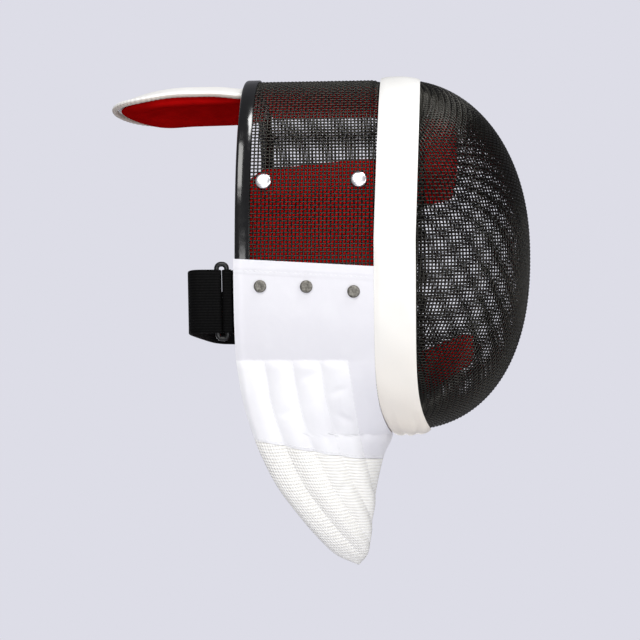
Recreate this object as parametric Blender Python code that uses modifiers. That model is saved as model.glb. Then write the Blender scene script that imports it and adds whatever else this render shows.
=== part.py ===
"""Fencing mask, built as separate named solids. Metres, +Z up.

+X is where the face looks and +Y is the wearer's left. The origin lies on the underside
of the crown pad, where the top of the head sits.
"""
import math

import bpy
import bmesh
from mathutils import Vector

# Clearances
GAP = 0.0003
NEST_GAP = 0.0011
PAD_GAP = 0.0008

# Wire shells: one loop round the face, carried back to the rear edge and closed in front by a dome
WIRE = 0.0020
HALF_WIDTH = 0.100
RISE = 0.1495
FALL = 0.1525
CROWN_POWER = 2.4
CHIN_POWER = 2.15
REAR_X = -0.0600
SEAM_X = 0.0690
FACE_DEPTH = 0.1120
FACE_CROWN_POWER = 2.1
FACE_CHIN_POWER = 2.35
FACE_LAP = 0.0100
SIDE_LOW_REAR = 0.2230
SIDE_LOW_FRONT = 0.2730
LOOP_STEPS = 26
# The side shell is tucked in behind the front shell from here to its front edge
TUCK_START_X = 0.0470
TUCK_END_X = 0.0580
SIDE_FRONT_X = 0.0925
# Rows of the side shell from rear to front: share of the way from one named place to the next,
# and how far it is tucked in, as a share of the tuck.
SIDE_ROWS = [
    # from, to, share, tuck
    (REAR_X, TUCK_START_X, 0.00, 0.0),
    (REAR_X, TUCK_START_X, 0.28, 0.0),
    (REAR_X, TUCK_START_X, 0.64, 0.0),
    (REAR_X, TUCK_START_X, 1.00, 0.0),
    (TUCK_END_X, SIDE_FRONT_X, 0.00, 1.0),
    (TUCK_END_X, SIDE_FRONT_X, 0.50, 1.0),
    (TUCK_END_X, SIDE_FRONT_X, 1.00, 1.0),
]

# Tape over the seam between the shells
BAND_WIDTH = 0.0330
BAND_THICK = 0.0016
BAND_CROWN = 0.0006
BAND_SIDE_X = 0.0660
BAND_CROWN_LEAD = 0.0050
BAND_CHIN_LEAD = 0.0130
BAND_LEAD_POWER = 8

# Channel on the rear edge
RIM_WALL = 0.0012
RIM_DEPTH = 0.0105

# Padding
CROWN_PAD = 0.0140
CROWN_PAD_HALF = 0.0440
CROWN_PAD_BACK = -0.0480
CROWN_PAD_FRONT = 0.0600
CHEEK_PAD = 0.0090
CHEEK_BACK = -0.0590
CHEEK_FRONT = 0.0600
CHEEK_TOP = -0.0710
CHEEK_LOW = -0.1900
CHEEK_DIP = 0.0120
CHEEK_DIP_START = 0.6
PAD_SLOPE = 0.0060
TAB_RISE = 0.0240
BROW_PAD = 0.0130
BROW_SIDE_X = 0.0860
BROW_FRONT_X = 0.1190
BROW_TOP = -0.0315
BROW_HEIGHT = 0.0400
BROW_BOW = 6.0
CHIN_PAD = 0.0120
CHIN_SIDE_X = 0.0840
CHIN_FRONT_X = 0.1370
CHIN_SIDE_Z = -0.2420
CHIN_FRONT_Z = -0.2100
CHIN_SIDE_HEIGHT = 0.0360
CHIN_FRONT_HEIGHT = 0.0200
CHIN_BOW = 2.4
BOW_CORNER = 0.04
PILLOW_EDGE = 0.45

# Bib
BIB_THICK = 0.0022
BIB_SEAM_GAP = 0.0012
BIB_BACK_X = -0.0618
BIB_TOP_REAR = -0.1480
BIB_TOP_FRONT = -0.1545
QUILT_TOP = -0.2280
BIB_TIP = -0.3997
CHANNEL = 0.0225
CHANNELS = 4
CHANNEL_RELIEF = 0.0018
CHANNEL_START = 0.0120
CHANNEL_POWER = 0.7
CHANNEL_SHARE = 0.86
BIB_ROWS = 12
QUILT_ROW = 4 / BIB_ROWS
CHIN_ROW = 10 / BIB_ROWS
LAME_REAR = -0.2910
LAME_SAG = 0.0180
LAME_SAG_RUN = 0.1200
LINING = 0.0010
LINING_GAP = 0.0012
LINING_INSET = 0.0160
# One row a level: share of the hang below the quilt top, then the rear edge and the front fold
# as shares of the run from rear to chin, then the half-width as a share of that at the quilt top.
BIB_LEVELS = [
    # hang, rear, front, half
    (0.00, 0.000, 1.000, 1.000),
    (0.20, 0.045, 1.000, 0.945),
    (0.36, 0.108, 1.000, 0.860),
    (0.45, 0.152, 0.945, 0.790),
    (0.60, 0.250, 0.895, 0.655),
    (0.75, 0.390, 0.862, 0.480),
    (0.87, 0.520, 0.848, 0.300),
    (0.95, 0.628, 0.825, 0.140),
    (1.00, 0.765, 0.765, 0.000),
]

# Tongue behind the head
TONGUE_TIP_X = -0.1810
TONGUE_HALF = 0.0500
TONGUE_ROUND = 0.0470
TONGUE_PLATE = 0.0020
TONGUE_ARCH = 0.0160
TONGUE_RISE = 0.0022
TONGUE_RISE_START = 0.0080
TONGUE_RISE_RUN = 0.0260
TONGUE_DROP = 0.0200
TONGUE_DROP_RUN = 0.0760
TONGUE_DROP_POWER = 2.3
TONGUE_LAP = 0.0095
TONGUE_PAD_CENTRE = 0.0130
TONGUE_PAD_EDGE = 0.0045
TONGUE_PAD_INSET = 0.02
TONGUE_PAD_END = 0.99
TONGUE_PAD_SPREAD = 0.98
BINDING = 0.0055

# Strap, its loops and tabs
STRAP_TOP = -0.1560
STRAP_WIDTH = 0.0500
WEB = 0.0016
LOOP_BAR = 0.0040
LOOP_HEIGHT = 0.0630
LOOP_SPAN = 0.0110
LOOP_FRONT_X = -0.0680
LOOP_CORNER = 0.0035
STRAP_BACK_X = -0.1040
STRAP_BEND_X = -0.0840
STRAP_TAIL_X = -0.0920
STRAP_POWER = 4
TAB_INNER_X = -0.0520
TAB_OUTER_X = -0.0640

# Fasteners: place along X and height on each side
SNAP_RADIUS = 0.00645
SNAP_HEIGHT = 0.0032
SNAPS = {"rear": (-0.0387, -0.0853), "front": (0.0377, -0.0847)}
RIVET_RADIUS = 0.0050
RIVET_HEIGHT = 0.0014
HEAD_STEPS = 12
RIVETS = {"rear": (-0.0405, -0.1693), "middle": (-0.0038, -0.1698), "front": (0.0336, -0.1738)}

# Worked out from the sizes above
SHELL_TOP = CROWN_PAD + PAD_GAP + WIRE
CENTRE_Z = SHELL_TOP - RISE
TUCK = WIRE + NEST_GAP
BAND_OUT = GAP + BAND_THICK
RIM_OUT = GAP + RIM_WALL
BIB_OUT = RIM_OUT + GAP + BIB_THICK
BIB_FRONT_OUT = GAP + BIB_THICK
CHIN_Z = CENTRE_Z - FALL - BIB_FRONT_OUT
PAD_OUT = -WIRE - PAD_GAP
RIM_TUCK = 2 * GAP + RIM_WALL
TAB_TUCK = RIM_TUCK + 2 * WEB + 4 * GAP
RIM_EDGE_X = REAR_X + RIM_DEPTH + PAD_GAP
BIB_DROP = QUILT_TOP - BIB_TIP


def material(name, colour, roughness, metallic=0.0):
    paint = bpy.data.materials.new(name)
    paint.use_nodes = True
    shader = paint.node_tree.nodes["Principled BSDF"]
    shader.inputs["Base Color"].default_value = (*colour, 1.0)
    shader.inputs["Roughness"].default_value = roughness
    shader.inputs["Metallic"].default_value = metallic
    return paint


def add_object(name, mesh, paint, home):
    data = bpy.data.meshes.new(name)
    mesh.to_mesh(data)
    mesh.free()
    data.shade_smooth()
    data.set_sharp_from_angle(angle=math.radians(40))
    data.materials.append(paint)
    piece = bpy.data.objects.new(name, data)
    home.objects.link(piece)
    return piece


def mirrored(piece):
    mirror = piece.modifiers.new("Other side", "MIRROR")
    mirror.use_axis = (False, True, False)
    mirror.merge_threshold = 0.00005


def thickened(piece, thickness, offset=-1.0):
    shell = piece.modifiers.new("Wall", "SOLIDIFY")
    shell.thickness = thickness
    shell.offset = offset
    shell.use_even_offset = True


def sheet(name, columns, rows, place, thickness, paint, home, both_sides=True, offset=-1.0):
    """A wall: a flat grid whose points go where place(u, v) says, with u and v from 0 to 1."""
    mesh = bmesh.new()
    bmesh.ops.create_grid(mesh, x_segments=columns, y_segments=rows, size=0.5)
    for point in mesh.verts:
        point.co = place(point.co.x + 0.5, point.co.y + 0.5)
    bmesh.ops.remove_doubles(mesh, verts=mesh.verts, dist=0.00002)
    piece = add_object(name, mesh, paint, home)
    if both_sides:
        mirrored(piece)
    thickened(piece, thickness, offset)
    return piece


def cushion(name, columns, rows, place, paint, home):
    """A closed pad: place(u, v, w) has u and v from -1 to 1, and w 0 outside and 1 inside."""
    mesh = bmesh.new()
    bmesh.ops.create_grid(mesh, x_segments=columns, y_segments=rows, size=1.0)
    outside = mesh.faces[:]
    grown = bmesh.ops.extrude_face_region(mesh, geom=outside, use_keep_orig=True)
    inner = {part for part in grown["geom"] if isinstance(part, bmesh.types.BMVert)}
    for point in mesh.verts:
        point.co = place(point.co.x, point.co.y, 1.0 if point in inner else 0.0)
    bmesh.ops.recalc_face_normals(mesh, faces=mesh.faces)
    if mesh.calc_volume(signed=True) < 0:
        bmesh.ops.reverse_faces(mesh, faces=mesh.faces)
    return add_object(name, mesh, paint, home)


def pillow(u, v, w):
    """How deep a padded point lies: the inner face is full in the middle and thin at its edges."""
    return w * (PILLOW_EDGE + (1.0 - PILLOW_EDGE) * (1.0 - u ** 4) * (1.0 - v ** 4))


def mix(start, end, share):
    return start + (end - start) * share


def bend(rows, where, column):
    """Read a column of a table along a smooth curve through its rows."""
    last = len(rows) - 1
    index = max(k for k in range(last) if rows[k][0] <= where or k == 0)
    low, high = rows[index], rows[index + 1]
    step = high[0] - low[0]
    share = min(1.0, max(0.0, (where - low[0]) / step))

    def slope(k):
        before, after = rows[max(0, k - 1)], rows[min(last, k + 1)]
        return (after[column] - before[column]) / (after[0] - before[0]) * step

    square, cube = share ** 2, share ** 3
    return (low[column] * (2 * cube - 3 * square + 1) + slope(index) * (cube - 2 * square + share)
            + high[column] * (3 * square - 2 * cube) + slope(index + 1) * (cube - square))


def loop_shares(angle):
    """Half-width and height of the loop round the face, as shares, from crown (0) to chin (pi)."""
    power = CROWN_POWER if math.cos(angle) >= 0 else CHIN_POWER
    across = math.copysign(abs(math.sin(angle)) ** (2 / power), math.sin(angle))
    along = math.copysign(abs(math.cos(angle)) ** (2 / power), math.cos(angle))
    return across, along, power


def dome(x, along):
    """Size of the section at x, as a share of the loop, with the place along the dome."""
    ahead = min(1.0, max(0.0, (x - SEAM_X) / FACE_DEPTH))
    bow = mix(FACE_CROWN_POWER, FACE_CHIN_POWER, (1.0 - along) / 2)
    return (1.0 - ahead ** bow) ** (1 / bow), ahead, bow


def wall(x, angle, out=0.0):
    """A point of the wire shells' form, pushed out along its normal."""
    across, along, power = loop_shares(angle)
    height = RISE if along >= 0 else FALL
    size, ahead, bow = dome(x, along)
    tilt = size ** (bow - 1)
    normal = Vector((ahead ** (bow - 1) / FACE_DEPTH,
                     tilt * math.copysign(abs(across) ** (power - 1), across) / HALF_WIDTH,
                     tilt * math.copysign(abs(along) ** (power - 1), along) / height))
    spot = Vector((x, HALF_WIDTH * size * across, CENTRE_Z + height * size * along))
    return spot + normal.normalized() * out


def angle_at(z):
    """The angle round the loop where it reaches a height."""
    height, power = (RISE, CROWN_POWER) if z >= CENTRE_Z else (FALL, CHIN_POWER)
    along = max(-1.0, min(1.0, (z - CENTRE_Z) / height))
    return math.acos(math.copysign(abs(along) ** (power / 2), along))


def flank(z, out):
    """Half-width at a height of the loop grown by a distance."""
    height, power = (RISE, CROWN_POWER) if z >= CENTRE_Z else (FALL, CHIN_POWER)
    along = min(1.0, abs(z - CENTRE_Z) / (height + out))
    return (HALF_WIDTH + out) * (1.0 - along ** power) ** (1 / power)


def seam_line(angle):
    """Where the middle of the seam lies along X: further forward at crown and chin."""
    along = loop_shares(angle)[1]
    if along >= 0:
        return BAND_SIDE_X + BAND_CROWN_LEAD * along
    return BAND_SIDE_X + BAND_CHIN_LEAD * abs(along) ** BAND_LEAD_POWER


def side_low(x):
    """Lower edge of the side shell, as an angle round the loop."""
    share = min(1.0, (x - REAR_X) / (BAND_SIDE_X - REAR_X))
    return angle_at(-mix(SIDE_LOW_REAR, SIDE_LOW_FRONT, share))


def face_spot(u, v):
    angle = v * math.pi
    start = seam_line(angle) - FACE_LAP
    x = mix(start, SEAM_X + FACE_DEPTH, math.sin(u * math.pi / 2))
    return wall(x, angle)


def side_spot(u, v):
    start, end, share, tuck = SIDE_ROWS[round(u * (len(SIDE_ROWS) - 1))]
    x = mix(start, end, share)
    return wall(x, min(v * math.pi, side_low(x)), -tuck * TUCK)


def band_spot(u, v):
    angle = v * math.pi
    crown = BAND_CROWN * (1.0 - (2 * u - 1) ** 2)
    return wall(seam_line(angle) + (u - 0.5) * BAND_WIDTH, angle, BAND_OUT + crown)


# Profile of the rear channel, from its outer lip round the back to its inner lip:
# distance from the rear edge as a share of its depth, and share of the way from outside to inside.
RIM_PROFILE = [
    # depth, across
    (1.0, 0.0),
    (0.0, 0.0),
    (0.0, 1.0),
    (1.0, 1.0),
]


def rim_spot(u, v):
    depth, across = RIM_PROFILE[round(u * (len(RIM_PROFILE) - 1))]
    angle = min(v * math.pi, side_low(REAR_X))
    return wall(REAR_X - GAP + depth * RIM_DEPTH, angle, mix(GAP, -WIRE - GAP, across))


def bib_levels(z):
    """Rear edge, front fold and half-width of the bib at a height."""
    hang = (QUILT_TOP - z) / BIB_DROP
    chin_x = seam_line(math.pi) - BAND_WIDTH / 2 - BIB_SEAM_GAP
    if hang <= 0.0:
        rear, half = BIB_BACK_X, flank(z, BIB_OUT)
    else:
        rear = mix(BIB_BACK_X, chin_x, bend(BIB_LEVELS, hang, 1))
        half = flank(QUILT_TOP, BIB_OUT) * max(0.0, bend(BIB_LEVELS, hang, 3))
    if z > CHIN_Z:
        level = CENTRE_Z + (z - CENTRE_Z) * FALL / (FALL + BIB_FRONT_OUT)
        front = seam_line(angle_at(level)) - BAND_WIDTH / 2 - BIB_SEAM_GAP
        return rear, front, half, min(half, flank(z, BIB_FRONT_OUT))
    return rear, mix(BIB_BACK_X, chin_x, bend(BIB_LEVELS, hang, 2)), half, 0.0


def bib_section(z, steps=24):
    """Points along the bib at a height, from its rear edge to its front, with distances."""
    rear, front, half, front_half = bib_levels(z)
    turn = math.acos(front_half / half) if half > GAP else math.pi / 2
    turn = max(turn, 0.01)
    points = []
    for k in range(steps + 1):
        part = turn * k / steps
        points.append(Vector((mix(rear, front, math.sin(part) / math.sin(turn)),
                              half * math.cos(part) if k < steps or front_half > 0 else 0.0, z)))
    lengths = [0.0]
    for before, after in zip(points, points[1:]):
        lengths.append(lengths[-1] + (after - before).length)
    return points, lengths


def bib_out(x):
    """How far the bib's face stands off the wire where it lies against the side."""
    forward = (x - BIB_BACK_X) / (BAND_SIDE_X - BAND_WIDTH / 2 - BIB_BACK_X)
    return BIB_OUT - (BIB_OUT - BIB_FRONT_OUT) * forward ** 2


def bib_width(z):
    return bib_section(z)[1][-1]


def bib_spot(z, reach):
    """The bib's surface at a height and a distance forward from its rear edge."""
    points, lengths = bib_section(max(z, BIB_TIP))
    for k in range(len(points) - 1):
        if lengths[k] < lengths[k + 1] and reach <= lengths[k + 1]:
            span = lengths[k + 1] - lengths[k]
            return points[k].lerp(points[k + 1], (reach - lengths[k]) / span)
    return points[-1].copy()


def bib_normal(z, reach):
    step = 0.002
    along = bib_spot(z, reach + step) - bib_spot(z, max(0.0, reach - step))
    down = bib_spot(z - step, reach) - bib_spot(z + step, reach)
    normal = along.cross(down)
    if normal.length < 1e-12:
        return Vector((0.0, 0.0, -1.0))
    return normal.normalized()


def seam_z(reach):
    """Seam between the white cloth and the lower part."""
    return LAME_REAR - LAME_SAG * math.sin(min(1.0, reach / LAME_SAG_RUN) * math.pi / 2)


def seam_reach(share):
    """Distance from the rear edge where a share of the seam's whole width ends."""
    width = bib_width(LAME_REAR - LAME_SAG)
    return share_to_reach(share, width)


def share_to_reach(share, width):
    """Equal steps inside each sewn channel, then equal steps to the front."""
    quilted = CHANNEL * CHANNELS
    if share <= CHANNEL_SHARE:
        return quilted * share / CHANNEL_SHARE
    return mix(quilted, width, (share - CHANNEL_SHARE) / (1.0 - CHANNEL_SHARE))


def relief(z, reach):
    """Height of the padding in the sewn channels over the cloth's base."""
    start = min(1.0, max(0.0, (QUILT_TOP - z) / CHANNEL_START))
    if reach >= CHANNEL * CHANNELS:
        return 0.0
    return CHANNEL_RELIEF * start * abs(math.sin(math.pi * reach / CHANNEL)) ** CHANNEL_POWER


def bib_row(v, top, seam):
    """Height of a row: even down to the quilting, closer together towards the chin, then the seam."""
    chin = seam + CHIN_Z - (LAME_REAR - LAME_SAG)
    if v <= QUILT_ROW:
        return mix(top, QUILT_TOP, v / QUILT_ROW)
    if v <= CHIN_ROW:
        left = (CHIN_ROW - v) / (CHIN_ROW - QUILT_ROW)
        return mix(QUILT_TOP, chin, 1.0 - left ** 2)
    return mix(chin, seam, (v - CHIN_ROW) / (1.0 - CHIN_ROW))


def bib_place(u, v):
    z = BIB_TOP_REAR
    reach = 0.0
    for _ in range(4):
        width = bib_width(z)
        reach = share_to_reach(u, width)
        top = mix(BIB_TOP_REAR, BIB_TOP_FRONT, min(1.0, reach / width))
        z = bib_row(v, top, seam_z(reach))
    spot = bib_spot(z, reach)
    if z > CHIN_Z or reach < width - GAP:
        spot += bib_normal(z, reach) * relief(z, reach)
    if u == 1.0 and v >= CHIN_ROW - GAP:
        spot.y = 0.0
    return spot


def level_with_width(width, high):
    """The height under the seam at which the bib is only so wide."""
    low = BIB_TIP
    for _ in range(30):
        middle = (low + high) / 2
        if bib_width(middle) > width:
            high = middle
        else:
            low = middle
    return (low + high) / 2


def lower_line(reach, v):
    """Height at a share of the way along the line that keeps one distance from the rear edge."""
    top = seam_z(reach) - GAP
    end = min(top, level_with_width(reach, LAME_REAR - LAME_SAG))
    return mix(top, end, v)


def lame_place(u, v):
    reach = seam_reach(u)
    z = lower_line(reach, 0.0 if u == 1.0 else v)
    spot = bib_spot(z, reach) + bib_normal(z, reach) * relief(z, reach) * (1.0 - v ** 6)
    if v == 1.0 or u == 1.0:
        spot.y = 0.0
    return spot


def lining_place(u, v):
    """Plain cloth inside the lower part, a little short of its edges."""
    reach = mix(LINING_INSET, bib_width(LAME_REAR - LAME_SAG) - LINING_INSET, u)
    z = lower_line(reach, v)
    spot = bib_spot(z, reach) - bib_normal(z, reach) * (BIB_THICK + LINING_GAP)
    if v == 1.0:
        spot.y = 0.0
    return spot


def pad_columns(back, front):
    """Columns of a pad along X, with how far each lies off the wire to clear what holds the edge."""
    columns = [(back, 0.0)]
    if back < RIM_EDGE_X:
        columns = [(back, RIM_TUCK), (RIM_EDGE_X, RIM_TUCK), (RIM_EDGE_X + PAD_SLOPE, 0.0)]
    start = columns[-1][0]
    before_tuck = TUCK_START_X - PAD_GAP
    columns += [(mix(start, before_tuck, k / 3), 0.0) for k in (1, 2, 3)]
    return columns + [(TUCK_END_X, TUCK), (max(front, TUCK_END_X + GAP), TUCK)]


CROWN_COLUMNS = pad_columns(CROWN_PAD_BACK, CROWN_PAD_FRONT)
CHEEK_COLUMNS = pad_columns(CHEEK_BACK, CHEEK_FRONT)


def column_at(columns, u):
    """Place, dip and share from -1 to 1 along the pad of one of its columns."""
    x, dip = columns[round((u + 1) / 2 * (len(columns) - 1))]
    back, front = columns[0][0], columns[-1][0]
    return x, dip, 2 * (x - back) / (front - back) - 1


def crown_pad_spot(u, v, w):
    half_angle = math.asin((CROWN_PAD_HALF / HALF_WIDTH) ** (CROWN_POWER / 2))
    x, dip, along = column_at(CROWN_COLUMNS, u)
    return wall(x, v * half_angle, PAD_OUT - dip - CROWN_PAD * pillow(along, v, w))


def cheek_spot(u, v, w, side):
    x, dip, along = column_at(CHEEK_COLUMNS, u)
    lower = CHEEK_DIP * max(0.0, -along - CHEEK_DIP_START) / (1.0 - CHEEK_DIP_START)
    angle = mix(angle_at(CHEEK_TOP - lower), angle_at(CHEEK_LOW), (v + 1) / 2)
    if x <= RIM_EDGE_X:
        above_tab = (wall(x, angle).z - STRAP_TOP) / TAB_RISE
        dip = mix(TAB_TUCK, RIM_TUCK, min(1.0, max(0.0, above_tab)))
    spot = wall(x, angle, PAD_OUT - dip - CHEEK_PAD * pillow(along, v, w))
    spot.y *= side
    return spot


def bow_spot(u, v, w, side, front, bow, depth):
    """A pad that bows forward; side and front give place along X, height and width of the pad there."""
    forward = 1.0 - abs(u) ** bow
    x, middle, height = (mix(start, end, forward) for start, end in zip(side, front))
    z = middle + v * height / 2
    end = flank(z, PAD_OUT - TUCK) - GAP
    end *= dome(side[0], (z - CENTRE_Z) / RISE)[0]
    round_corner = 1.0 - BOW_CORNER * v ** 4
    inward = depth * pillow(u, v, w)
    return Vector((x - inward, u * end * round_corner - math.copysign(inward * 0.5 * abs(u) ** 3, u), z))


def brow_spot(u, v, w):
    middle = BROW_TOP - BROW_HEIGHT / 2
    side = (BROW_SIDE_X, middle, BROW_HEIGHT)
    front = (BROW_FRONT_X, middle, BROW_HEIGHT)
    return bow_spot(u, v, w, side, front, BROW_BOW, BROW_PAD)


def chin_spot(u, v, w):
    side = (CHIN_SIDE_X, CHIN_SIDE_Z, CHIN_SIDE_HEIGHT)
    front = (CHIN_FRONT_X, CHIN_FRONT_Z, CHIN_FRONT_HEIGHT)
    return bow_spot(u, v, w, side, front, CHIN_BOW, CHIN_PAD)


def tongue_crest(x):
    """Height of the tongue's top along its middle."""
    root = SHELL_TOP - WIRE - 2 * GAP - RIM_WALL
    risen = min(1.0, max(0.0, (REAR_X - TONGUE_RISE_START - x) / TONGUE_RISE_RUN))
    behind = max(0.0, (TONGUE_TIP_X + TONGUE_DROP_RUN - x) / TONGUE_DROP_RUN)
    return root + TONGUE_RISE * math.sin(risen * math.pi / 2) - TONGUE_DROP * behind ** TONGUE_DROP_POWER


def tongue_spot(share, turn, half, out):
    """share 0 at the tip's edge and 1 under the rim; turn 0 in the middle and pi/2 at the side."""
    rim = TONGUE_HALF - half
    end = TONGUE_TIP_X + rim + (TONGUE_ROUND - rim) * (1.0 - math.cos(turn))
    x = mix(end, REAR_X + (TONGUE_LAP if rim > 0 else -GAP), share)
    y = half * math.sin(turn)
    return Vector((x, y, tongue_crest(x) - TONGUE_ARCH * (y / TONGUE_HALF) ** 2 + out))


def tongue_plate_spot(u, v):
    return tongue_spot(u, v * math.pi / 2, TONGUE_HALF - BINDING - GAP, 0.0)


def tongue_pad_spot(u, v, w):
    half = TONGUE_HALF - BINDING - GAP
    share = mix(TONGUE_PAD_INSET, TONGUE_PAD_END, (u + 1) / 2)
    turn = v * math.pi / 2 * TONGUE_PAD_SPREAD
    spot = tongue_spot(share, turn, half, 0.0)
    drop_share = max(0.0, (TONGUE_TIP_X + TONGUE_DROP_RUN - spot.x) / TONGUE_DROP_RUN)
    fall = TONGUE_DROP * TONGUE_DROP_POWER * drop_share ** (TONGUE_DROP_POWER - 1) / TONGUE_DROP_RUN
    tilt = math.hypot(1.0, 2 * TONGUE_ARCH * spot.y / TONGUE_HALF ** 2, fall)
    spot.z -= (TONGUE_PLATE + PAD_GAP) * tilt
    spot.z -= w * mix(TONGUE_PAD_EDGE, TONGUE_PAD_CENTRE, (1.0 - v ** 4) * (1.0 - min(0.0, u) ** 6))
    return spot


def tube(name, points, radius, sides_level, closed, paint, home):
    """A round bar along points."""
    curve = bpy.data.curves.new(name, "CURVE")
    curve.dimensions = "3D"
    curve.bevel_depth = radius
    curve.bevel_resolution = sides_level
    curve.use_fill_caps = not closed
    line = curve.splines.new("POLY")
    line.points.add(len(points) - 1)
    for point, spot in zip(line.points, points):
        point.co = (*spot, 1.0)
    line.use_cyclic_u = closed
    curve.materials.append(paint)
    piece = bpy.data.objects.new(name, curve)
    home.objects.link(piece)
    return piece


def binding_points():
    half = TONGUE_HALF - BINDING / 2
    side = [tongue_spot(k / 5, math.pi / 2, half, -BINDING / 4) for k in range(5, 0, -1)]
    tip = [tongue_spot(0.0, math.pi / 2 - k * math.pi / 14, half, -BINDING / 4) for k in range(7)]
    near = side + tip
    middle = tongue_spot(0.0, 0.0, half, -BINDING / 4)
    far = [Vector((spot.x, -spot.y, spot.z)) for spot in reversed(near)]
    route = near + [middle] + far
    for spot in route:
        spot.x = min(spot.x, REAR_X - RIM_WALL - 2 * GAP)
    return route


# Strap: worked out from the wall that its tabs lie against
STRAP_MIDDLE = STRAP_TOP - STRAP_WIDTH / 2
STRAP_FOOT = STRAP_TOP - STRAP_WIDTH
INSIDE_RIM = -WIRE - 2 * GAP - RIM_WALL - WEB / 2
LEAN = (flank(STRAP_TOP, 0.0) - flank(STRAP_FOOT, 0.0)) / STRAP_WIDTH
WRAP = LOOP_BAR / 2 + GAP + WEB / 2
LOOP_Y = (flank(STRAP_TOP, INSIDE_RIM) + flank(STRAP_FOOT, INSIDE_RIM)) / 2 - 2 * GAP + WRAP


def leaning(x, y, z):
    """The loops and the straps near them lean with the wall."""
    near = min(1.0, y / (LOOP_Y - 2 * WRAP)) ** 2
    return Vector((x, y + (z - STRAP_MIDDLE) * LEAN * near, z))


def strap_route():
    """From the middle of the back round to the loop's rear bar, about it, and back."""
    bar_x = LOOP_FRONT_X - LOOP_SPAN
    outer = LOOP_Y + WRAP
    route = []
    for k in range(15):
        turn = k / 14 * math.pi / 2
        back = (STRAP_BEND_X - STRAP_BACK_X) * math.cos(turn) ** (2 / STRAP_POWER)
        route.append((STRAP_BEND_X - back, outer * math.sin(turn) ** (2 / STRAP_POWER)))
    for k in range(7):
        turn = math.pi / 2 - k * math.pi / 6
        route.append((bar_x + WRAP * math.cos(turn), LOOP_Y + WRAP * math.sin(turn)))
    route.append((STRAP_TAIL_X, LOOP_Y - WRAP))
    return route


def tab_route():
    """From inside the rim back to the loop's front bar, about it, and forward outside."""
    route = [(TAB_INNER_X, LOOP_Y - WRAP)]
    for k in range(7):
        turn = -math.pi / 2 - k * math.pi / 6
        route.append((LOOP_FRONT_X + WRAP * math.cos(turn), LOOP_Y + WRAP * math.sin(turn)))
    route.append((TAB_OUTER_X, LOOP_Y + WRAP))
    return route


def ribbon(name, route, top, foot, side, paint, home, both_sides=False):
    def place(u, v):
        x, y = route[round(u * (len(route) - 1))]
        spot = leaning(x, y, mix(top, foot, v))
        spot.y *= side
        return spot
    return sheet(name, len(route) - 1, 1, place, WEB, paint, home, both_sides, 0.0)


def loop_points(side):
    """A rounded upright frame with a bar at each end of its span."""
    points = []
    middle_x = LOOP_FRONT_X - LOOP_SPAN / 2
    reach_x = LOOP_SPAN / 2 - LOOP_CORNER
    reach_z = (LOOP_HEIGHT - LOOP_BAR) / 2 - LOOP_CORNER
    for corner, (way_x, way_z) in enumerate([(1, 1), (-1, 1), (-1, -1), (1, -1)]):
        for k in range(4):
            turn = (corner + k / 3) * math.pi / 2
            spot = leaning(middle_x + way_x * reach_x + LOOP_CORNER * math.cos(turn), LOOP_Y,
                           STRAP_MIDDLE + way_z * reach_z + LOOP_CORNER * math.sin(turn))
            points.append((spot.x, spot.y * side, spot.z))
    return points


def turned(profile):
    """A mesh for a turned head, from points (radius, height) from its top to its underside."""
    mesh = bmesh.new()
    points = [mesh.verts.new((radius, 0.0, height)) for radius, height in profile]
    for before, after in zip(points, points[1:]):
        mesh.edges.new((before, after))
    data = bpy.data.meshes.new("turned head")
    mesh.to_mesh(data)
    mesh.free()
    return data


def fastener(name, data, x, z, out, side, paint, home):
    piece = bpy.data.objects.new(name, data)
    if not data.materials:
        data.materials.append(paint)
    home.objects.link(piece)
    screw = piece.modifiers.new("Turned", "SCREW")
    screw.steps = HEAD_STEPS
    screw.render_steps = HEAD_STEPS
    screw.use_merge_vertices = True
    screw.merge_threshold = 0.00002
    angle = angle_at(z)
    foot = wall(x, angle, out)
    normal = (wall(x, angle, out + 0.01) - foot).normalized()
    foot.y *= side
    normal.y *= side
    piece.location = foot
    piece.rotation_mode = "QUATERNION"
    piece.rotation_quaternion = normal.to_track_quat("Z", "Y")
    return piece


def dome_profile(radius, height):
    lip = height * 0.25
    arc = [(radius * math.sin(k * math.pi / 8), lip + (height - lip) * math.cos(k * math.pi / 8))
           for k in range(5)]
    return arc + [(radius, 0.0), (0.0, 0.0)]


def cap_profile(radius, height):
    return [(0.0, height), (radius * 0.86, height), (radius, height * 0.6), (radius, 0.0), (0.0, 0.0)]


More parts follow.
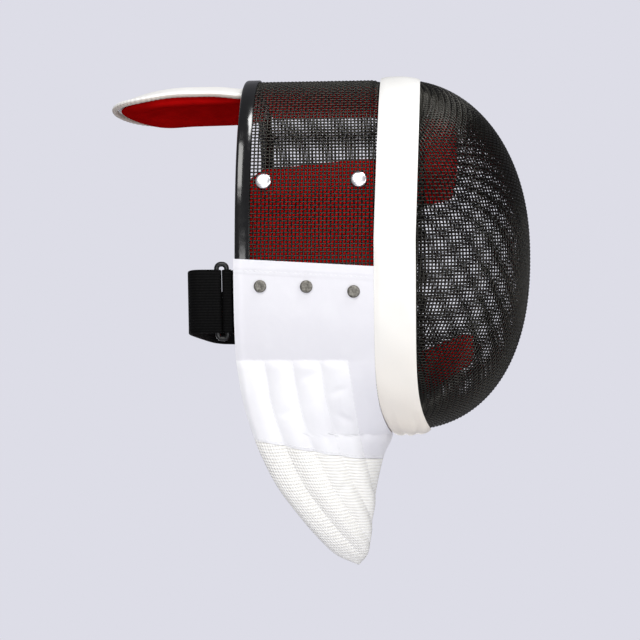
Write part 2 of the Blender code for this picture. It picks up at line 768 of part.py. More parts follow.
def build():
    for old in list(bpy.data.objects):
        bpy.data.objects.remove(old, do_unlink=True)
    home = bpy.data.collections.new("fencing_mask")
    bpy.context.scene.collection.children.link(home)

    wire = material("black_wire", (0.03, 0.03, 0.035), 0.42, 0.3)
    white = material("white_cloth", (0.86, 0.86, 0.87), 0.8)
    tape = material("white_tape", (0.88, 0.87, 0.84), 0.5)
    lame = material("cream_lame", (0.80, 0.79, 0.74), 0.6)
    red = material("red_cloth", (0.50, 0.02, 0.03), 0.85)
    gloss = material("black_plastic", (0.012, 0.012, 0.014), 0.2)
    webbing = material("black_webbing", (0.02, 0.02, 0.022), 0.8)
    chrome = material("chrome", (0.86, 0.86, 0.87), 0.12, 1.0)
    grey = material("grey_metal", (0.32, 0.32, 0.31), 0.4, 0.9)

    sheet("front_mesh", 10, LOOP_STEPS, face_spot, WIRE, wire, home)
    sheet("side_mesh", len(SIDE_ROWS) - 1, LOOP_STEPS, side_spot, WIRE, wire, home)
    sheet("seam_band", 3, LOOP_STEPS, band_spot, BAND_THICK, tape, home)
    sheet("rear_rim", len(RIM_PROFILE) - 1, LOOP_STEPS, rim_spot, RIM_WALL, gloss, home)

    sheet("bib", 14, BIB_ROWS, bib_place, BIB_THICK, white, home)
    sheet("bib_lame", 14, 8, lame_place, BIB_THICK, lame, home)
    sheet("bib_lining", 7, 8, lining_place, LINING, red, home)

    cushion("crown_pad", len(CROWN_COLUMNS) - 1, 8, crown_pad_spot, red, home)
    for side, hand in ((-1, "right"), (1, "left")):
        cushion("cheek_pad_" + hand, len(CHEEK_COLUMNS) - 1, 6,
                lambda u, v, w, side=side: cheek_spot(u, v, w, side), red, home)
    cushion("forehead_pad", 16, 5, brow_spot, red, home)
    cushion("chin_pad", 16, 4, chin_spot, red, home)

    sheet("tongue", 7, 8, tongue_plate_spot, TONGUE_PLATE, white, home)
    cushion("tongue_pad", 7, 10, tongue_pad_spot, red, home)
    tube("tongue_binding", binding_points(), BINDING / 2 - GAP / 2, 2, False, tape, home)

    snap_head = turned(dome_profile(SNAP_RADIUS, SNAP_HEIGHT))
    rivet_head = turned(cap_profile(RIVET_RADIUS, RIVET_HEIGHT))
    for side, hand in ((-1, "right"), (1, "left")):
        for place, (x, z) in SNAPS.items():
            fastener(f"snap_{place}_{hand}", snap_head, x, z, GAP, side, chrome, home)
        for place, (x, z) in RIVETS.items():
            fastener(f"rivet_{place}_{hand}", rivet_head, x, z, bib_out(x) + GAP, side, grey, home)
        tube("strap_loop_" + hand, loop_points(side), LOOP_BAR / 2, 1, True, gloss, home)
        ribbon("strap_tab_" + hand, tab_route(), STRAP_TOP, STRAP_FOOT, side, webbing, home)
    ribbon("back_strap", strap_route(), STRAP_TOP, STRAP_FOOT, 1, webbing, home, True)


build()
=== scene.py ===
"""The looks of the fencing mask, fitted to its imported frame. Metres, +X forward, +Z up."""

import math

import bpy
import numpy as np
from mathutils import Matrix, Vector


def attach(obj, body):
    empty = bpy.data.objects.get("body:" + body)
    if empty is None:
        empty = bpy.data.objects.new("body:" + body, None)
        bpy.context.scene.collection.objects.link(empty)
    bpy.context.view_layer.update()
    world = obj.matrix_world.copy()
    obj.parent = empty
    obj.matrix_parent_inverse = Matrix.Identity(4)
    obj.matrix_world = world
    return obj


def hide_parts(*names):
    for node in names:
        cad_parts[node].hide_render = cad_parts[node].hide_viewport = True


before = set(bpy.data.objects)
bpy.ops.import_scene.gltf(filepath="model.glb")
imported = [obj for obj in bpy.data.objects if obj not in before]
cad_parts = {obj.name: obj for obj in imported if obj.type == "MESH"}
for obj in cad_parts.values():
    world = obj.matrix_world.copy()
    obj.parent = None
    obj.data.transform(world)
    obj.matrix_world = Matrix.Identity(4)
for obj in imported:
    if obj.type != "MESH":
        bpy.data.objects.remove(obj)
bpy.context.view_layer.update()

# View
AIM = (0.0, 0.0, -0.1897)
DISTANCE = 1.10
AZIMUTH = math.radians(4)
ELEVATION = math.radians(-4)
LENS = 71.2
SENSOR = 36.0
BACKGROUND = (0.723, 0.723, 0.799)
AMBIENT = 0.24
MIRRORED = 0.15
FLOOR_Z = -0.75
FLOOR_RINGS = (0.001, 0.4, 0.8, 1.15)
FLOOR_SIDES = 96
WHITE = (1.0, 1.0, 1.0)
LIGHTS = [
    # name, place, size, watts, colour
    ("key", (-0.30, -1.5, 0.9), (0.8, 0.8), 18.0, (1.0, 0.99, 0.97)),
    ("front", (0.35, -1.9, -0.42), (1.2, 0.9), 16.5, WHITE),
    ("far side", (-0.4, 1.9, -0.3), (1.2, 1.2), 9.0, WHITE),
    ("top", (0.7, -0.5, 1.2), (0.45, 0.45), 12.0, WHITE),
    ("ahead", (1.45, -0.8, -0.05), (0.35, 0.6), 6.5, WHITE),
]

# Clearances
GAP = 0.0003
NEST_GAP = 0.0011
PAD_GAP = 0.0008

# Wire shells
WIRE = 0.0020
STRAND = 0.00068
CROSSING = 0.70
PITCH = 0.0031
HALF_WIDTH = 0.100
RISE = 0.1495
FALL = 0.1525
CROWN_POWER = 2.4
CHIN_POWER = 2.15
REAR_X = -0.0600
SEAM_X = 0.0690
FACE_DEPTH = 0.1120
FACE_CROWN_POWER = 2.1
FACE_CHIN_POWER = 2.35
FACE_LAP = 0.0100
FACE_NET_BACK = 0.0350
NET_ROUNDS = 12
FACE_STEPS = 4000
FACE_BACK_STEPS = 400
FACE_BACK_X = 0.0200
SIDE_STEPS = 6000
WIRE_SIDES = 5
SIDE_LOW_REAR = 0.2230
SIDE_LOW_FRONT = 0.2730
TUCK_START_X = 0.0470
TUCK_END_X = 0.0580
SIDE_FRONT_X = 0.0925

# Tape over the seam
BAND_WIDTH = 0.0330
BAND_THICK = 0.0016
BAND_CROWN = 0.0006
BAND_SIDE_X = 0.0660
BAND_CROWN_LEAD = 0.0050
BAND_CHIN_LEAD = 0.0130
BAND_LEAD_POWER = 8
BAND_FOLD = 0.0030
BAND_ROLL = 0.0006
BAND_RIPPLE = 0.00035
BAND_RIPPLES = 17
BAND_RIPPLE_SLANT = 1.3
BAND_INSET = 0.012
CHIN_FOLDS_FROM = 2.50
CHIN_FOLDS_RUN = 0.55
CHIN_FOLD_WIDTH = 0.10
CHIN_FOLD_FRONT = 0.22
CHIN_FOLD_REAR = -0.30
CHIN_FOLD_SPREAD = 0.30
CHIN_SPREAD_RUN = 0.40

# Channel on the rear edge
RIM_WALL = 0.0012
RIM_DEPTH = 0.0105
RIM_LIP = 0.0002
RIM_CHAMFER = 0.0003
RIM_FLARE = 0.0006

# Padding
PAD_SIDES = 72
CROWN_PAD = 0.0140
CROWN_PAD_HALF = 0.0440
CROWN_PAD_BACK = -0.0480
CROWN_PAD_FRONT = 0.0600
CROWN_SEAM = 0.36
CROWN_SEAM_WIDTH = 0.035
CROWN_SEAM_DEPTH = 0.24
CHEEK_PAD = 0.0090
CHEEK_BACK = -0.0590
CHEEK_FRONT = 0.0600
CHEEK_TOP = -0.0650
CHEEK_LOW = -0.1900
CHEEK_DIP = 0.0220
CHEEK_DIP_POWER = 2.4
PAD_SLOPE = 0.0060
TAB_RISE = 0.0240
BROW_PAD = 0.0130
BROW_SIDE_X = 0.0860
BROW_FRONT_X = 0.1190
BROW_TOP = -0.0270
BROW_HEIGHT = 0.0500
BROW_BOW = 6.0
CHIN_PAD = 0.0120
CHIN_SIDE_X = 0.0840
CHIN_FRONT_X = 0.1440
CHIN_SIDE_Z = -0.2420
CHIN_FRONT_Z = -0.2100
CHIN_SIDE_HEIGHT = 0.0360
CHIN_FRONT_HEIGHT = 0.0200
CHIN_BOW = 2.8
BOW_CORNER = 0.04

# Bib
THREAD = 0.0008
BIB_THICK = 0.0022
BIB_BACK_X = -0.0618
BIB_TOP_REAR = -0.1480
BIB_TOP_FRONT = -0.1545
QUILT_TOP = -0.2280
BIB_TIP = -0.3997
CHANNEL = 0.0225
CHANNELS = 4
CHANNEL_RELIEF = 0.0026
CHANNEL_START = 0.0060
CHANNEL_POWER = 0.9
CREASE_REACH = 0.010
CREASE_WIDTH = 0.0035
CREASE_DEPTH = 0.35
LOWER_SWELL = 0.30
HEM_WIDTH = 0.0100
HEM_RELIEF = 0.0005
HEM_SOFTNESS = 0.0012
STITCH_DIP = 0.0004
STITCH_DIP_WIDTH = 0.0008
REAR_ROLL = 0.0004
REAR_ROLL_PLACE = 0.0040
REAR_ROLL_WIDTH = 0.0030
WRINKLE = 0.0011
WRINKLE_WAVES = [
    # turn a metre across and down, start
    (110, 80, 0.0),
    (70, -130, 1.0),
]
STITCH_LENGTH = 0.0030
STITCH_SPACE = 0.0010
STITCH_RADIUS = 0.00028
STITCH_INSET = 0.0010
SEAM_STITCH = 0.0022
WELD_REACH = 0.00002
MIRROR_REACH = 0.00005
CLOTH_SHARP = 50
ROW_ROUNDS = 6
HALVINGS = 26
BIB_STEPS = 48
LAME_REAR = -0.2910
LAME_SAG = 0.0180
LAME_SAG_RUN = 0.1200
LINING = 0.0010
LINING_GAP = 0.0012
LINING_INSET = 0.0160
BIB_LEVELS = np.array([
    # hang, rear, front, half
    (0.00, 0.000, 1.000, 1.000),
    (0.20, 0.045, 1.000, 0.945),
    (0.36, 0.108, 1.000, 0.860),
    (0.45, 0.152, 0.945, 0.790),
    (0.60, 0.250, 0.895, 0.655),
    (0.75, 0.390, 0.862, 0.480),
    (0.87, 0.520, 0.848, 0.300),
    (0.95, 0.628, 0.825, 0.140),
    (1.00, 0.765, 0.765, 0.000),
])

QUILT_CREASES = np.array([
    # place, height, angle
    (0.058, -0.2400, 0.25),
    (0.078, -0.2520, 0.30),
    (0.080, -0.2740, -0.35),
    (0.030, -0.2700, 0.30),
    (0.052, -0.3330, 0.55),
])

# Tongue
TONGUE_TIP_X = -0.1840
TONGUE_HALF = 0.0500
TONGUE_ROUND = 0.0470
TONGUE_PLATE = 0.0020
TONGUE_ARCH = 0.0160
TONGUE_RISE = 0.0022
TONGUE_RISE_START = 0.0080
TONGUE_RISE_RUN = 0.0260
TONGUE_DROP = 0.0200
TONGUE_DROP_RUN = 0.0760
TONGUE_DROP_POWER = 2.3
TONGUE_LAP = 0.0095
TONGUE_PAD_CENTRE = 0.0130
TONGUE_PAD_EDGE = 0.0045
TONGUE_PAD_THIN = 0.0045
TONGUE_PAD_INSET = 0.02
TONGUE_PAD_END = 0.99
TONGUE_PAD_SPREAD = 0.98
BINDING = 0.0055
BINDING_SIDES = 16
CRIMP = 0.07
CRIMP_SPACE = 0.0046
CRIMPED = 0.07
COVER_TUCK = 0.0008

# Strap, its loops and tabs
STRAP_TOP = -0.1560
STRAP_WIDTH = 0.0500
WEB = 0.0016
LOOP_BAR = 0.0040
LOOP_HEIGHT = 0.0630
LOOP_SPAN = 0.0081
LOOP_FRONT_X = -0.0680
LOOP_CORNER = 0.0035
STRAP_BACK_X = -0.1040
STRAP_BEND_X = -0.0840
STRAP_TAIL_X = -0.0920
STRAP_POWER = 4
STRAP_STEP = 0.0011
TAB_STEP = 0.0008
LOOP_SIDES = 14
TAB_INNER_X = -0.0520
TAB_OUTER_X = -0.0640

# Fasteners
SNAP_RADIUS = 0.00645
SNAP_HEIGHT = 0.0032
SNAPS = {"rear": (-0.0387, -0.0853), "front": (0.0377, -0.0847)}
RIVET_RADIUS = 0.0050
RIVET_HEIGHT = 0.0014
RIVETS = {"rear": (-0.0405, -0.1693), "middle": (-0.0038, -0.1698), "front": (0.0336, -0.1738)}

# Worked out from the sizes above
SHELL_TOP = CROWN_PAD + PAD_GAP + WIRE
LAME_FRONT = LAME_REAR - LAME_SAG
CENTRE_Z = SHELL_TOP - RISE
TUCK = WIRE + NEST_GAP
BIB_OUT = RIM_WALL + 2 * GAP + BIB_THICK
BIB_FRONT_OUT = GAP + BIB_THICK
CHIN_Z = CENTRE_Z - FALL - BIB_FRONT_OUT
PAD_OUT = -WIRE - PAD_GAP
RIM_TUCK = 2 * GAP + RIM_WALL
TAB_TUCK = RIM_TUCK + 2 * WEB + 4 * GAP
RIM_EDGE_X = REAR_X + RIM_DEPTH + PAD_GAP
BIB_DROP = QUILT_TOP - BIB_TIP
QUILTED = CHANNEL * CHANNELS
OTHER_SIDE = np.array([1.0, -1.0, 1.0])


# Arithmetic on arrays

def mix(start, end, share):
    return start + (end - start) * share


def signed_power(value, power):
    return np.copysign(np.abs(value) ** power, value)


def unit(rows):
    return rows / np.maximum(np.linalg.norm(rows, axis=-1, keepdims=True), 1e-12)


def smooth(share):
    share = np.clip(share, 0.0, 1.0)
    return share * share * (3.0 - 2.0 * share)


def bell(value, middle, width):
    return np.exp(-((value - middle) / width) ** 2)


def full_turn(sides):
    return np.arange(sides) / sides * 2 * math.pi


def run_of(path):
    """Distance along a path at each of its points."""
    return np.concatenate([[0.0], np.cumsum(np.linalg.norm(np.diff(path, axis=0), axis=1))])


def spots_at(path, run, places):
    """Points of a path at distances along it."""
    return np.stack([np.interp(places, run, column) for column in path.T], -1)


def bend(where, column):
    """Read a column of the bib's table along a smooth curve through its rows."""
    rows = BIB_LEVELS
    last = len(rows) - 1
    index = np.clip(np.searchsorted(rows[:, 0], where, side="right") - 1, 0, last - 1)
    step = rows[index + 1, 0] - rows[index, 0]
    share = np.clip((where - rows[index, 0]) / step, 0.0, 1.0)

    def slope(k):
        before = np.maximum(k - 1, 0)
        after = np.minimum(k + 1, last)
        return (rows[after, column] - rows[before, column]) / (rows[after, 0] - rows[before, 0]) * step

    square = share ** 2
    cube = share ** 3
    return (rows[index, column] * (2 * cube - 3 * square + 1) + slope(index) * (cube - 2 * square + share)
            + rows[index + 1, column] * (3 * square - 2 * cube) + slope(index + 1) * (cube - square))


# The form of the wire shells

def loop_shares(angle):
    power = np.where(np.cos(angle) >= 0, CROWN_POWER, CHIN_POWER)
    return signed_power(np.sin(angle), 2 / power), signed_power(np.cos(angle), 2 / power), power


def face_power(along):
    return mix(FACE_CROWN_POWER, FACE_CHIN_POWER, (1.0 - along) / 2)


def wall(x, angle, out=0.0):
    """Points of the shells' form at x and an angle round the loop, pushed out along the normal."""
    x, angle, out = np.broadcast_arrays(np.asarray(x, float), angle, out)
    across, along, power = loop_shares(angle)
    height = np.where(along >= 0, RISE, FALL)
    ahead = np.clip((x - SEAM_X) / FACE_DEPTH, 0.0, 1.0)
    bow = face_power(along)
    size = (1.0 - ahead ** bow) ** (1 / bow)
    tilt = size ** (bow - 1)
    normal = np.stack([ahead ** (bow - 1) / FACE_DEPTH,
                       tilt * signed_power(across, power - 1) / HALF_WIDTH,
                       tilt * signed_power(along, power - 1) / height], -1)
    spot = np.stack([x, HALF_WIDTH * size * across, CENTRE_Z + height * size * along], -1)
    return spot + unit(normal) * out[..., None]


def wall_normal(x, angle):
    return unit(wall(x, angle, 0.001) - wall(x, angle, 0.0))


def loop_form(rise):
    """Height and roundness of the loop above or below its centre."""
    return np.where(rise >= 0, RISE, FALL), np.where(rise >= 0, CROWN_POWER, CHIN_POWER)


def angle_at(z):
    rise = np.asarray(z, float) - CENTRE_Z
    height, power = loop_form(rise)
    return np.arccos(signed_power(np.clip(rise / height, -1.0, 1.0), power / 2))


def flank(z, out):
    """Half-width of the shells, pushed out, at a height."""
    rise = np.asarray(z, float) - CENTRE_Z
    height, power = loop_form(rise)
    along = np.minimum(1.0, np.abs(rise) / (height + out))
    return (HALF_WIDTH + out) * (1.0 - along ** power) ** (1 / power)


def seam_at(along):
    lead = np.where(along >= 0, BAND_CROWN_LEAD * along, BAND_CHIN_LEAD * np.abs(along) ** BAND_LEAD_POWER)
    return BAND_SIDE_X + lead


def seam_line(angle):
    return seam_at(loop_shares(angle)[1])


def side_low(x):
    share = np.minimum(1.0, (np.asarray(x, float) - REAR_X) / (BAND_SIDE_X - REAR_X))
    return angle_at(-mix(SIDE_LOW_REAR, SIDE_LOW_FRONT, share))


# Meshes

def mesh_object(name, points, faces, paint, flat=None):
    """A mesh from arrays of points and quads, with a flat cloth map in metres where it has one."""
    points = np.asarray(points, float).reshape(-1, 3)
    faces = np.asarray(faces, int)
    data = bpy.data.meshes.new(name)
    data.vertices.add(len(points))
    data.vertices.foreach_set("co", points.ravel())
    data.loops.add(faces.size)
    data.loops.foreach_set("vertex_index", faces.ravel())
    data.polygons.add(len(faces))
    data.polygons.foreach_set("loop_start", np.arange(0, faces.size, faces.shape[1]))
    if flat is not None:
        layer = data.uv_layers.new(name="flat")
        layer.uv.foreach_set("vector", np.asarray(flat, float).reshape(-1, 2)[faces.ravel()].ravel())
    data.update(calc_edges=True)
    data.validate()
    data.shade_smooth()
    data.materials.append(paint)
    piece = bpy.data.objects.new(name, data)
    bpy.context.scene.collection.objects.link(piece)
    return piece


def grid_faces(rows, columns, wrap_rows=False, wrap_columns=False):
    """Quads over a rows by columns grid of points."""
    row_count = rows if wrap_rows else rows - 1
    column_count = columns if wrap_columns else columns - 1
    i, j = np.meshgrid(np.arange(row_count), np.arange(column_count), indexing="ij")
    after_i = (i + 1) % rows
    after_j = (j + 1) % columns
    return np.stack([i * columns + j, after_i * columns + j,
                     after_i * columns + after_j, i * columns + after_j], -1).reshape(-1, 4)


def joined_flat(parts):
    """One array of points and one of faces from several."""
    points = []
    faces = []
    start = 0
    for spots, quads in parts:
        points.append(np.asarray(spots).reshape(-1, 3))
        faces.append(np.asarray(quads) + start)
        start += len(points[-1])
    return np.concatenate(points), np.concatenate(faces)


def settled(piece):
    """Fix the modifiers into the mesh and mark the sharp edges."""
    graph = bpy.context.evaluated_depsgraph_get()
    data = bpy.data.meshes.new_from_object(piece.evaluated_get(graph), depsgraph=graph)
    piece.modifiers.clear()
    piece.data = data
    data.shade_smooth()
    data.set_sharp_from_angle(angle=math.radians(CLOTH_SHARP))


def placed(piece, slot, *nodes):
    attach(piece, "root")
    if nodes:
        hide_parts(*nodes)
    return piece


def loft(rings, closed_path=False):
    """Points and quads of closed rings one after another; open ends are closed by a fan of quads."""
    count, sides = rings.shape[:2]
    faces = grid_faces(count, sides, closed_path, True)
    if closed_path:
        return rings, faces
    half = sides // 2
    caps = []
    for ring, way in ((0, 1), (count - 1, -1)):
        base = ring * sides
        for k in range(half - 1):
            quad = [base + k, base + k + 1, base + sides - k - 2, base + sides - k - 1]
            caps.append(quad[::way])
    return rings, np.concatenate([faces, np.array(caps)])


def lofted(name, rings, paint, slot, node_name, closed=False, flat=None, sharp=None):
    """A piece from closed rings, in the place of its solid."""
    points, faces = loft(rings, closed)
    piece = mesh_object(name, points, faces, paint, flat)
    if sharp is not None:
        piece.data.set_sharp_from_angle(angle=math.radians(sharp))
    return placed(piece, slot, node_name)


def tube_rings(path, radii, sides, closed=False, up=(0.0, 0.0, 1.0)):
    """Round rings about a path."""
    if closed:
        tangent = unit(np.roll(path, -1, 0) - np.roll(path, 1, 0))
    else:
        tangent = unit(np.gradient(path, axis=0))
    side = unit(np.cross(tangent, up))
    over = np.cross(side, tangent)
    turn = full_turn(sides)[None, :, None]
    radii = np.broadcast_to(np.asarray(radii, float), (len(path),))[:, None, None]
    return path[:, None] + radii * (np.cos(turn) * side[:, None] + np.sin(turn) * over[:, None])


def ribbon_rings(spots, across, thickness_way, thickness):
    """Rings of a flat strip with rounded edges, from its middle line, edge to edge vector and face normal."""
    edge = thickness / 2
    width = np.linalg.norm(across, axis=-1, keepdims=True)
    way = across / width
    turn = np.linspace(-math.pi / 2, math.pi / 2, 5)
    ring = []
    for sign in (1, -1):
        for t in turn:
            sideways = sign * ((width / 2 - edge) + edge * math.cos(t))
            ring.append(spots + way * sideways + thickness_way * edge * math.sin(t) * sign)
        # points between the two rounded edges keep the faces of the strip straight
        for share in (1 / 3, 2 / 3):
            sideways = sign * (width / 2 - edge) * (1 - 2 * share)
            ring.append(spots + way * sideways + thickness_way * edge * sign)
    return np.stack(ring, 1)


# Materials

def shader(paint):
    return paint.node_tree.nodes["Principled BSDF"]


def material(name, colour, roughness, metallic=0.0, coat=0.0, sheen=0.0, specular=0.5):
    paint = bpy.data.materials.new(name)
    paint.use_nodes = True
    values = {"Base Color": (*colour, 1.0), "Roughness": roughness, "Metallic": metallic,
              "Coat Weight": coat, "Coat Roughness": 0.12, "Sheen Weight": sheen,
              "Sheen Roughness": 0.5, "Specular IOR Level": specular}
    for socket, value in values.items():
        shader(paint).inputs[socket].default_value = value
    return paint


def node(paint, kind, **values):
    made = paint.node_tree.nodes.new(kind)
    for key, value in values.items():
        if key in made.inputs:
            made.inputs[key].default_value = value
        else:
            setattr(made, key, value)
    return made


def link(paint, start, end):
    paint.node_tree.links.new(start, end)


def coordinates(paint, flat):
    """Cloth reads its flat map in metres; the rest reads its place."""
    if flat:
        return node(paint, "ShaderNodeUVMap", uv_map="flat").outputs["UV"]
    return node(paint, "ShaderNodeTexCoord").outputs["Object"]


def noise(paint, where, scale, detail=3.0):
    made = node(paint, "ShaderNodeTexNoise", Scale=scale, Detail=detail)
    link(paint, where, made.inputs["Vector"])
    return made.outputs["Fac"]


def part_of(paint, where, axis):
    made = node(paint, "ShaderNodeSeparateXYZ")
    link(paint, where, made.inputs["Vector"])
    return made.outputs[axis]


def ribs(paint, where, period, direction, distortion=0.0):
    """Even bands with a period in metres along X or Y of the coordinates."""
    made = node(paint, "ShaderNodeTexWave", wave_type="BANDS", bands_direction=direction,
                Scale=math.pi / 10 / period, Distortion=distortion)
    link(paint, where, made.inputs["Vector"])
    return made.outputs["Fac"]


def maths(paint, operation, first, second):
    made = node(paint, "ShaderNodeMath", operation=operation)
    for socket, value in zip(made.inputs, (first, second)):
        if isinstance(value, (int, float)):
            socket.default_value = value
        else:
            link(paint, value, socket)
    return made.outputs["Value"]


def ramp(paint, value, stops):
    """Colours along a value; stops are (place, colour)."""
    made = node(paint, "ShaderNodeValToRGB")
    band = made.color_ramp
    band.elements[0].position = stops[0][0]
    band.elements[0].color = (*stops[0][1], 1.0)
    band.elements[1].position = stops[-1][0]
    band.elements[1].color = (*stops[-1][1], 1.0)
    for place, colour in stops[1:-1]:
        band.elements.new(place).color = (*colour, 1.0)
    link(paint, value, made.inputs["Fac"])
    return made.outputs["Color"]


def coloured(paint, value, stops):
    link(paint, ramp(paint, value, stops), shader(paint).inputs["Base Color"])


def roughened(paint, value, low, high):
    made = node(paint, "ShaderNodeMapRange")
    made.inputs["To Min"].default_value = low
    made.inputs["To Max"].default_value = high
    link(paint, value, made.inputs["Value"])
    link(paint, made.outputs["Result"], shader(paint).inputs["Roughness"])


def bumped(paint, heights):
    """Relief from (height, depth in metres) pairs, one over another."""
    normal = None
    for height, depth in heights:
        made = node(paint, "ShaderNodeBump", Strength=1.0, Distance=depth)
        link(paint, height, made.inputs["Height"])
        if normal is not None:
            link(paint, normal, made.inputs["Normal"])
        normal = made.outputs["Normal"]
    link(paint, normal, shader(paint).inputs["Normal"])


def speckled(name, colour, roughness, patches=None, rough=None, relief=(), **looks):
    """Paint with noise in its colour, roughness and relief, each given as scale, detail and what it spans."""
    paint = material(name, colour, roughness, **looks)
    where = coordinates(paint, False)
    if patches is not None:
        scale, detail, stops = patches
        coloured(paint, noise(paint, where, scale, detail), stops)
    if rough is not None:
        scale, detail, low, high = rough
        roughened(paint, noise(paint, where, scale, detail), low, high)
    bumped(paint, [(noise(paint, where, scale, detail), depth) for scale, detail, depth in relief])
    return paint


def tape_paint():
    """White tape coloured by height as painted shade: cream towards the chin, greyer white towards the top.
    """
    paint = material("white vinyl tape", (0.85, 0.84, 0.80), 0.42, coat=0.12)
    where = coordinates(paint, False)
    height = maths(paint, "ADD", part_of(paint, where, "Z"),
                   maths(paint, "MULTIPLY", noise(paint, where, 14.0), 0.06))
    # painted shade and light: the colour follows height, beige-cream low down towards the chin and a greyer
    # white near the top
    coloured(paint, maths(paint, "ADD", height, 1.0),
             [(0.735, (0.86, 0.80, 0.70)), (0.83, (0.80, 0.785, 0.745)), (0.96, (0.76, 0.755, 0.735))])
    roughened(paint, noise(paint, where, 60.0), 0.34, 0.52)
    bumped(paint, [(noise(paint, where, 38.0, 2.0), 0.0006), (noise(paint, where, 2600.0, 2.0), 0.00005)])
    return paint


def cloth_paint(name, low, high, roughness, sheen, weave, weave_depth, quilted=False):
    """Woven cloth: fine threads both ways, soft creases and a slow change of colour; when quilted, painted
    light whitens the quilting.
    """
    paint = material(name, high, roughness, sheen=sheen, specular=0.25)
    where = coordinates(paint, True)
    value = noise(paint, where, 28.0, 4.0)
    if quilted:
        # painted light and shade: the quilted part is painted whiter than the plain cloth round it, which
        # keeps a shaded lavender grey, in place of the shading of the padded surfaces
        before = maths(paint, "LESS_THAN", part_of(paint, where, "X"), QUILTED)
        below = maths(paint, "LESS_THAN", part_of(paint, where, "Y"), QUILT_TOP)
        inside = maths(paint, "MULTIPLY", maths(paint, "MULTIPLY", before, below), 0.30)
        value = maths(paint, "ADD", maths(paint, "MULTIPLY", value, 0.55), inside)
    coloured(paint, value, [(0.30, low), (0.68, high)])
    threads = maths(paint, "ADD", ribs(paint, where, weave, "X"), ribs(paint, where, weave, "Y"))
    bumped(paint, [(noise(paint, where, 42.0, 2.0), 0.0008), (threads, weave_depth)])
    return paint


def lame_paint():
    """Ribbed cloth, pebbled towards its rear edge, with painted shade in the grooves between the ribs."""
    paint = material("cream conductive cloth", (0.88, 0.87, 0.83), 0.55, sheen=0.1, specular=0.3)
    where = coordinates(paint, True)
    ridges_and_groove_shade = ribs(paint, where, 0.0026, "Y", 0.9)
    net = ribs(paint, where, 0.0021, "X", 1.2)
    rear_side = node(paint, "ShaderNodeMapRange")
    rear_side.inputs["From Min"].default_value = 0.055
    rear_side.inputs["From Max"].default_value = 0.025
    link(paint, part_of(paint, where, "X"), rear_side.inputs["Value"])
    pebbles = maths(paint, "MULTIPLY", net, rear_side.outputs["Result"])
    # painted shade: the colour darkens in the grooves between the ribs
    coloured(paint, maths(paint, "ADD", maths(paint, "MULTIPLY", ridges_and_groove_shade, 0.7),
                          maths(paint, "MULTIPLY", noise(paint, where, 260.0, 2.0), 0.5)),
             [(0.15, (0.74, 0.72, 0.66)), (0.42, (0.88, 0.87, 0.825)), (1.0, (0.93, 0.925, 0.895))])
    bumped(paint, [(noise(paint, where, 45.0, 2.0), 0.0006), (ridges_and_groove_shade, 0.00034), (pebbles, 0.00030)])
    return paint


def pad_paint(name, low, high, roughness, specular):
    return speckled(name, high, roughness, (60.0, 4.0, [(0.30, low), (0.72, high)]), None,
                    [(46.0, 2.0, 0.0014), (1900.0, 2.0, 0.00016)], specular=specular)


def webbing_paint():
    low = (0.0015, 0.0015, 0.0015)
    high = (0.005, 0.005, 0.005)
    paint = material("black elastic", high, 0.75, specular=0.06)
    where = coordinates(paint, True)
    along = ribs(paint, where, 0.0022, "X", 0.3)
    wear = maths(paint, "MULTIPLY", along, noise(paint, where, 500.0, 2.0))
    coloured(paint, wear, [(0.1, low), (0.6, high)])
    bumped(paint, [(along, 0.00022), (ribs(paint, where, 0.0011, "Y", 0.5), 0.00014)])
    return paint


def binding_paint():
    """Folded tape, white above, with painted shade: beige on its underside."""
    paint = material("white tongue binding", (0.84, 0.83, 0.80), 0.6, specular=0.25)
    where = coordinates(paint, True)
    share = maths(paint, "DIVIDE", part_of(paint, where, "Y"), BINDING * math.pi)
    share = maths(paint, "ADD", share, maths(paint, "MULTIPLY", noise(paint, where, 300.0, 2.0), 0.04))
    # painted shade: the underside of the fold is coloured beige
    coloured(paint, share, [(0.42, (0.86, 0.85, 0.82)), (0.56, (0.52, 0.46, 0.40)),
                            (0.98, (0.60, 0.54, 0.48))])
    bumped(paint, [(noise(paint, where, 420.0, 2.0), 0.0002)])
    return paint


def grey(value):
    return (value, value, value)


WIRE_PAINT = speckled("black enamelled wire", grey(0.003), 0.14,
                      (90.0, 4.0, [(0.35, grey(0.001)), (0.75, (0.004, 0.004, 0.003))]),
                      (900.0, 3.0, 0.10, 0.20), [(1500.0, 3.0, 0.00004)], specular=0.30)
shader(WIRE_PAINT).inputs["Specular Tint"].default_value = (1.0, 0.97, 0.86, 1.0)
TAPE_PAINT = tape_paint()
GLOSS_PAINT = speckled("glossy black channel", grey(0.004), 0.14,
                       (35.0, 3.0, [(0.3, grey(0.002)), (0.8, grey(0.005))]),
                       (160.0, 5.0, 0.08, 0.24), [(55.0, 2.0, 0.0004)], coat=0.15)
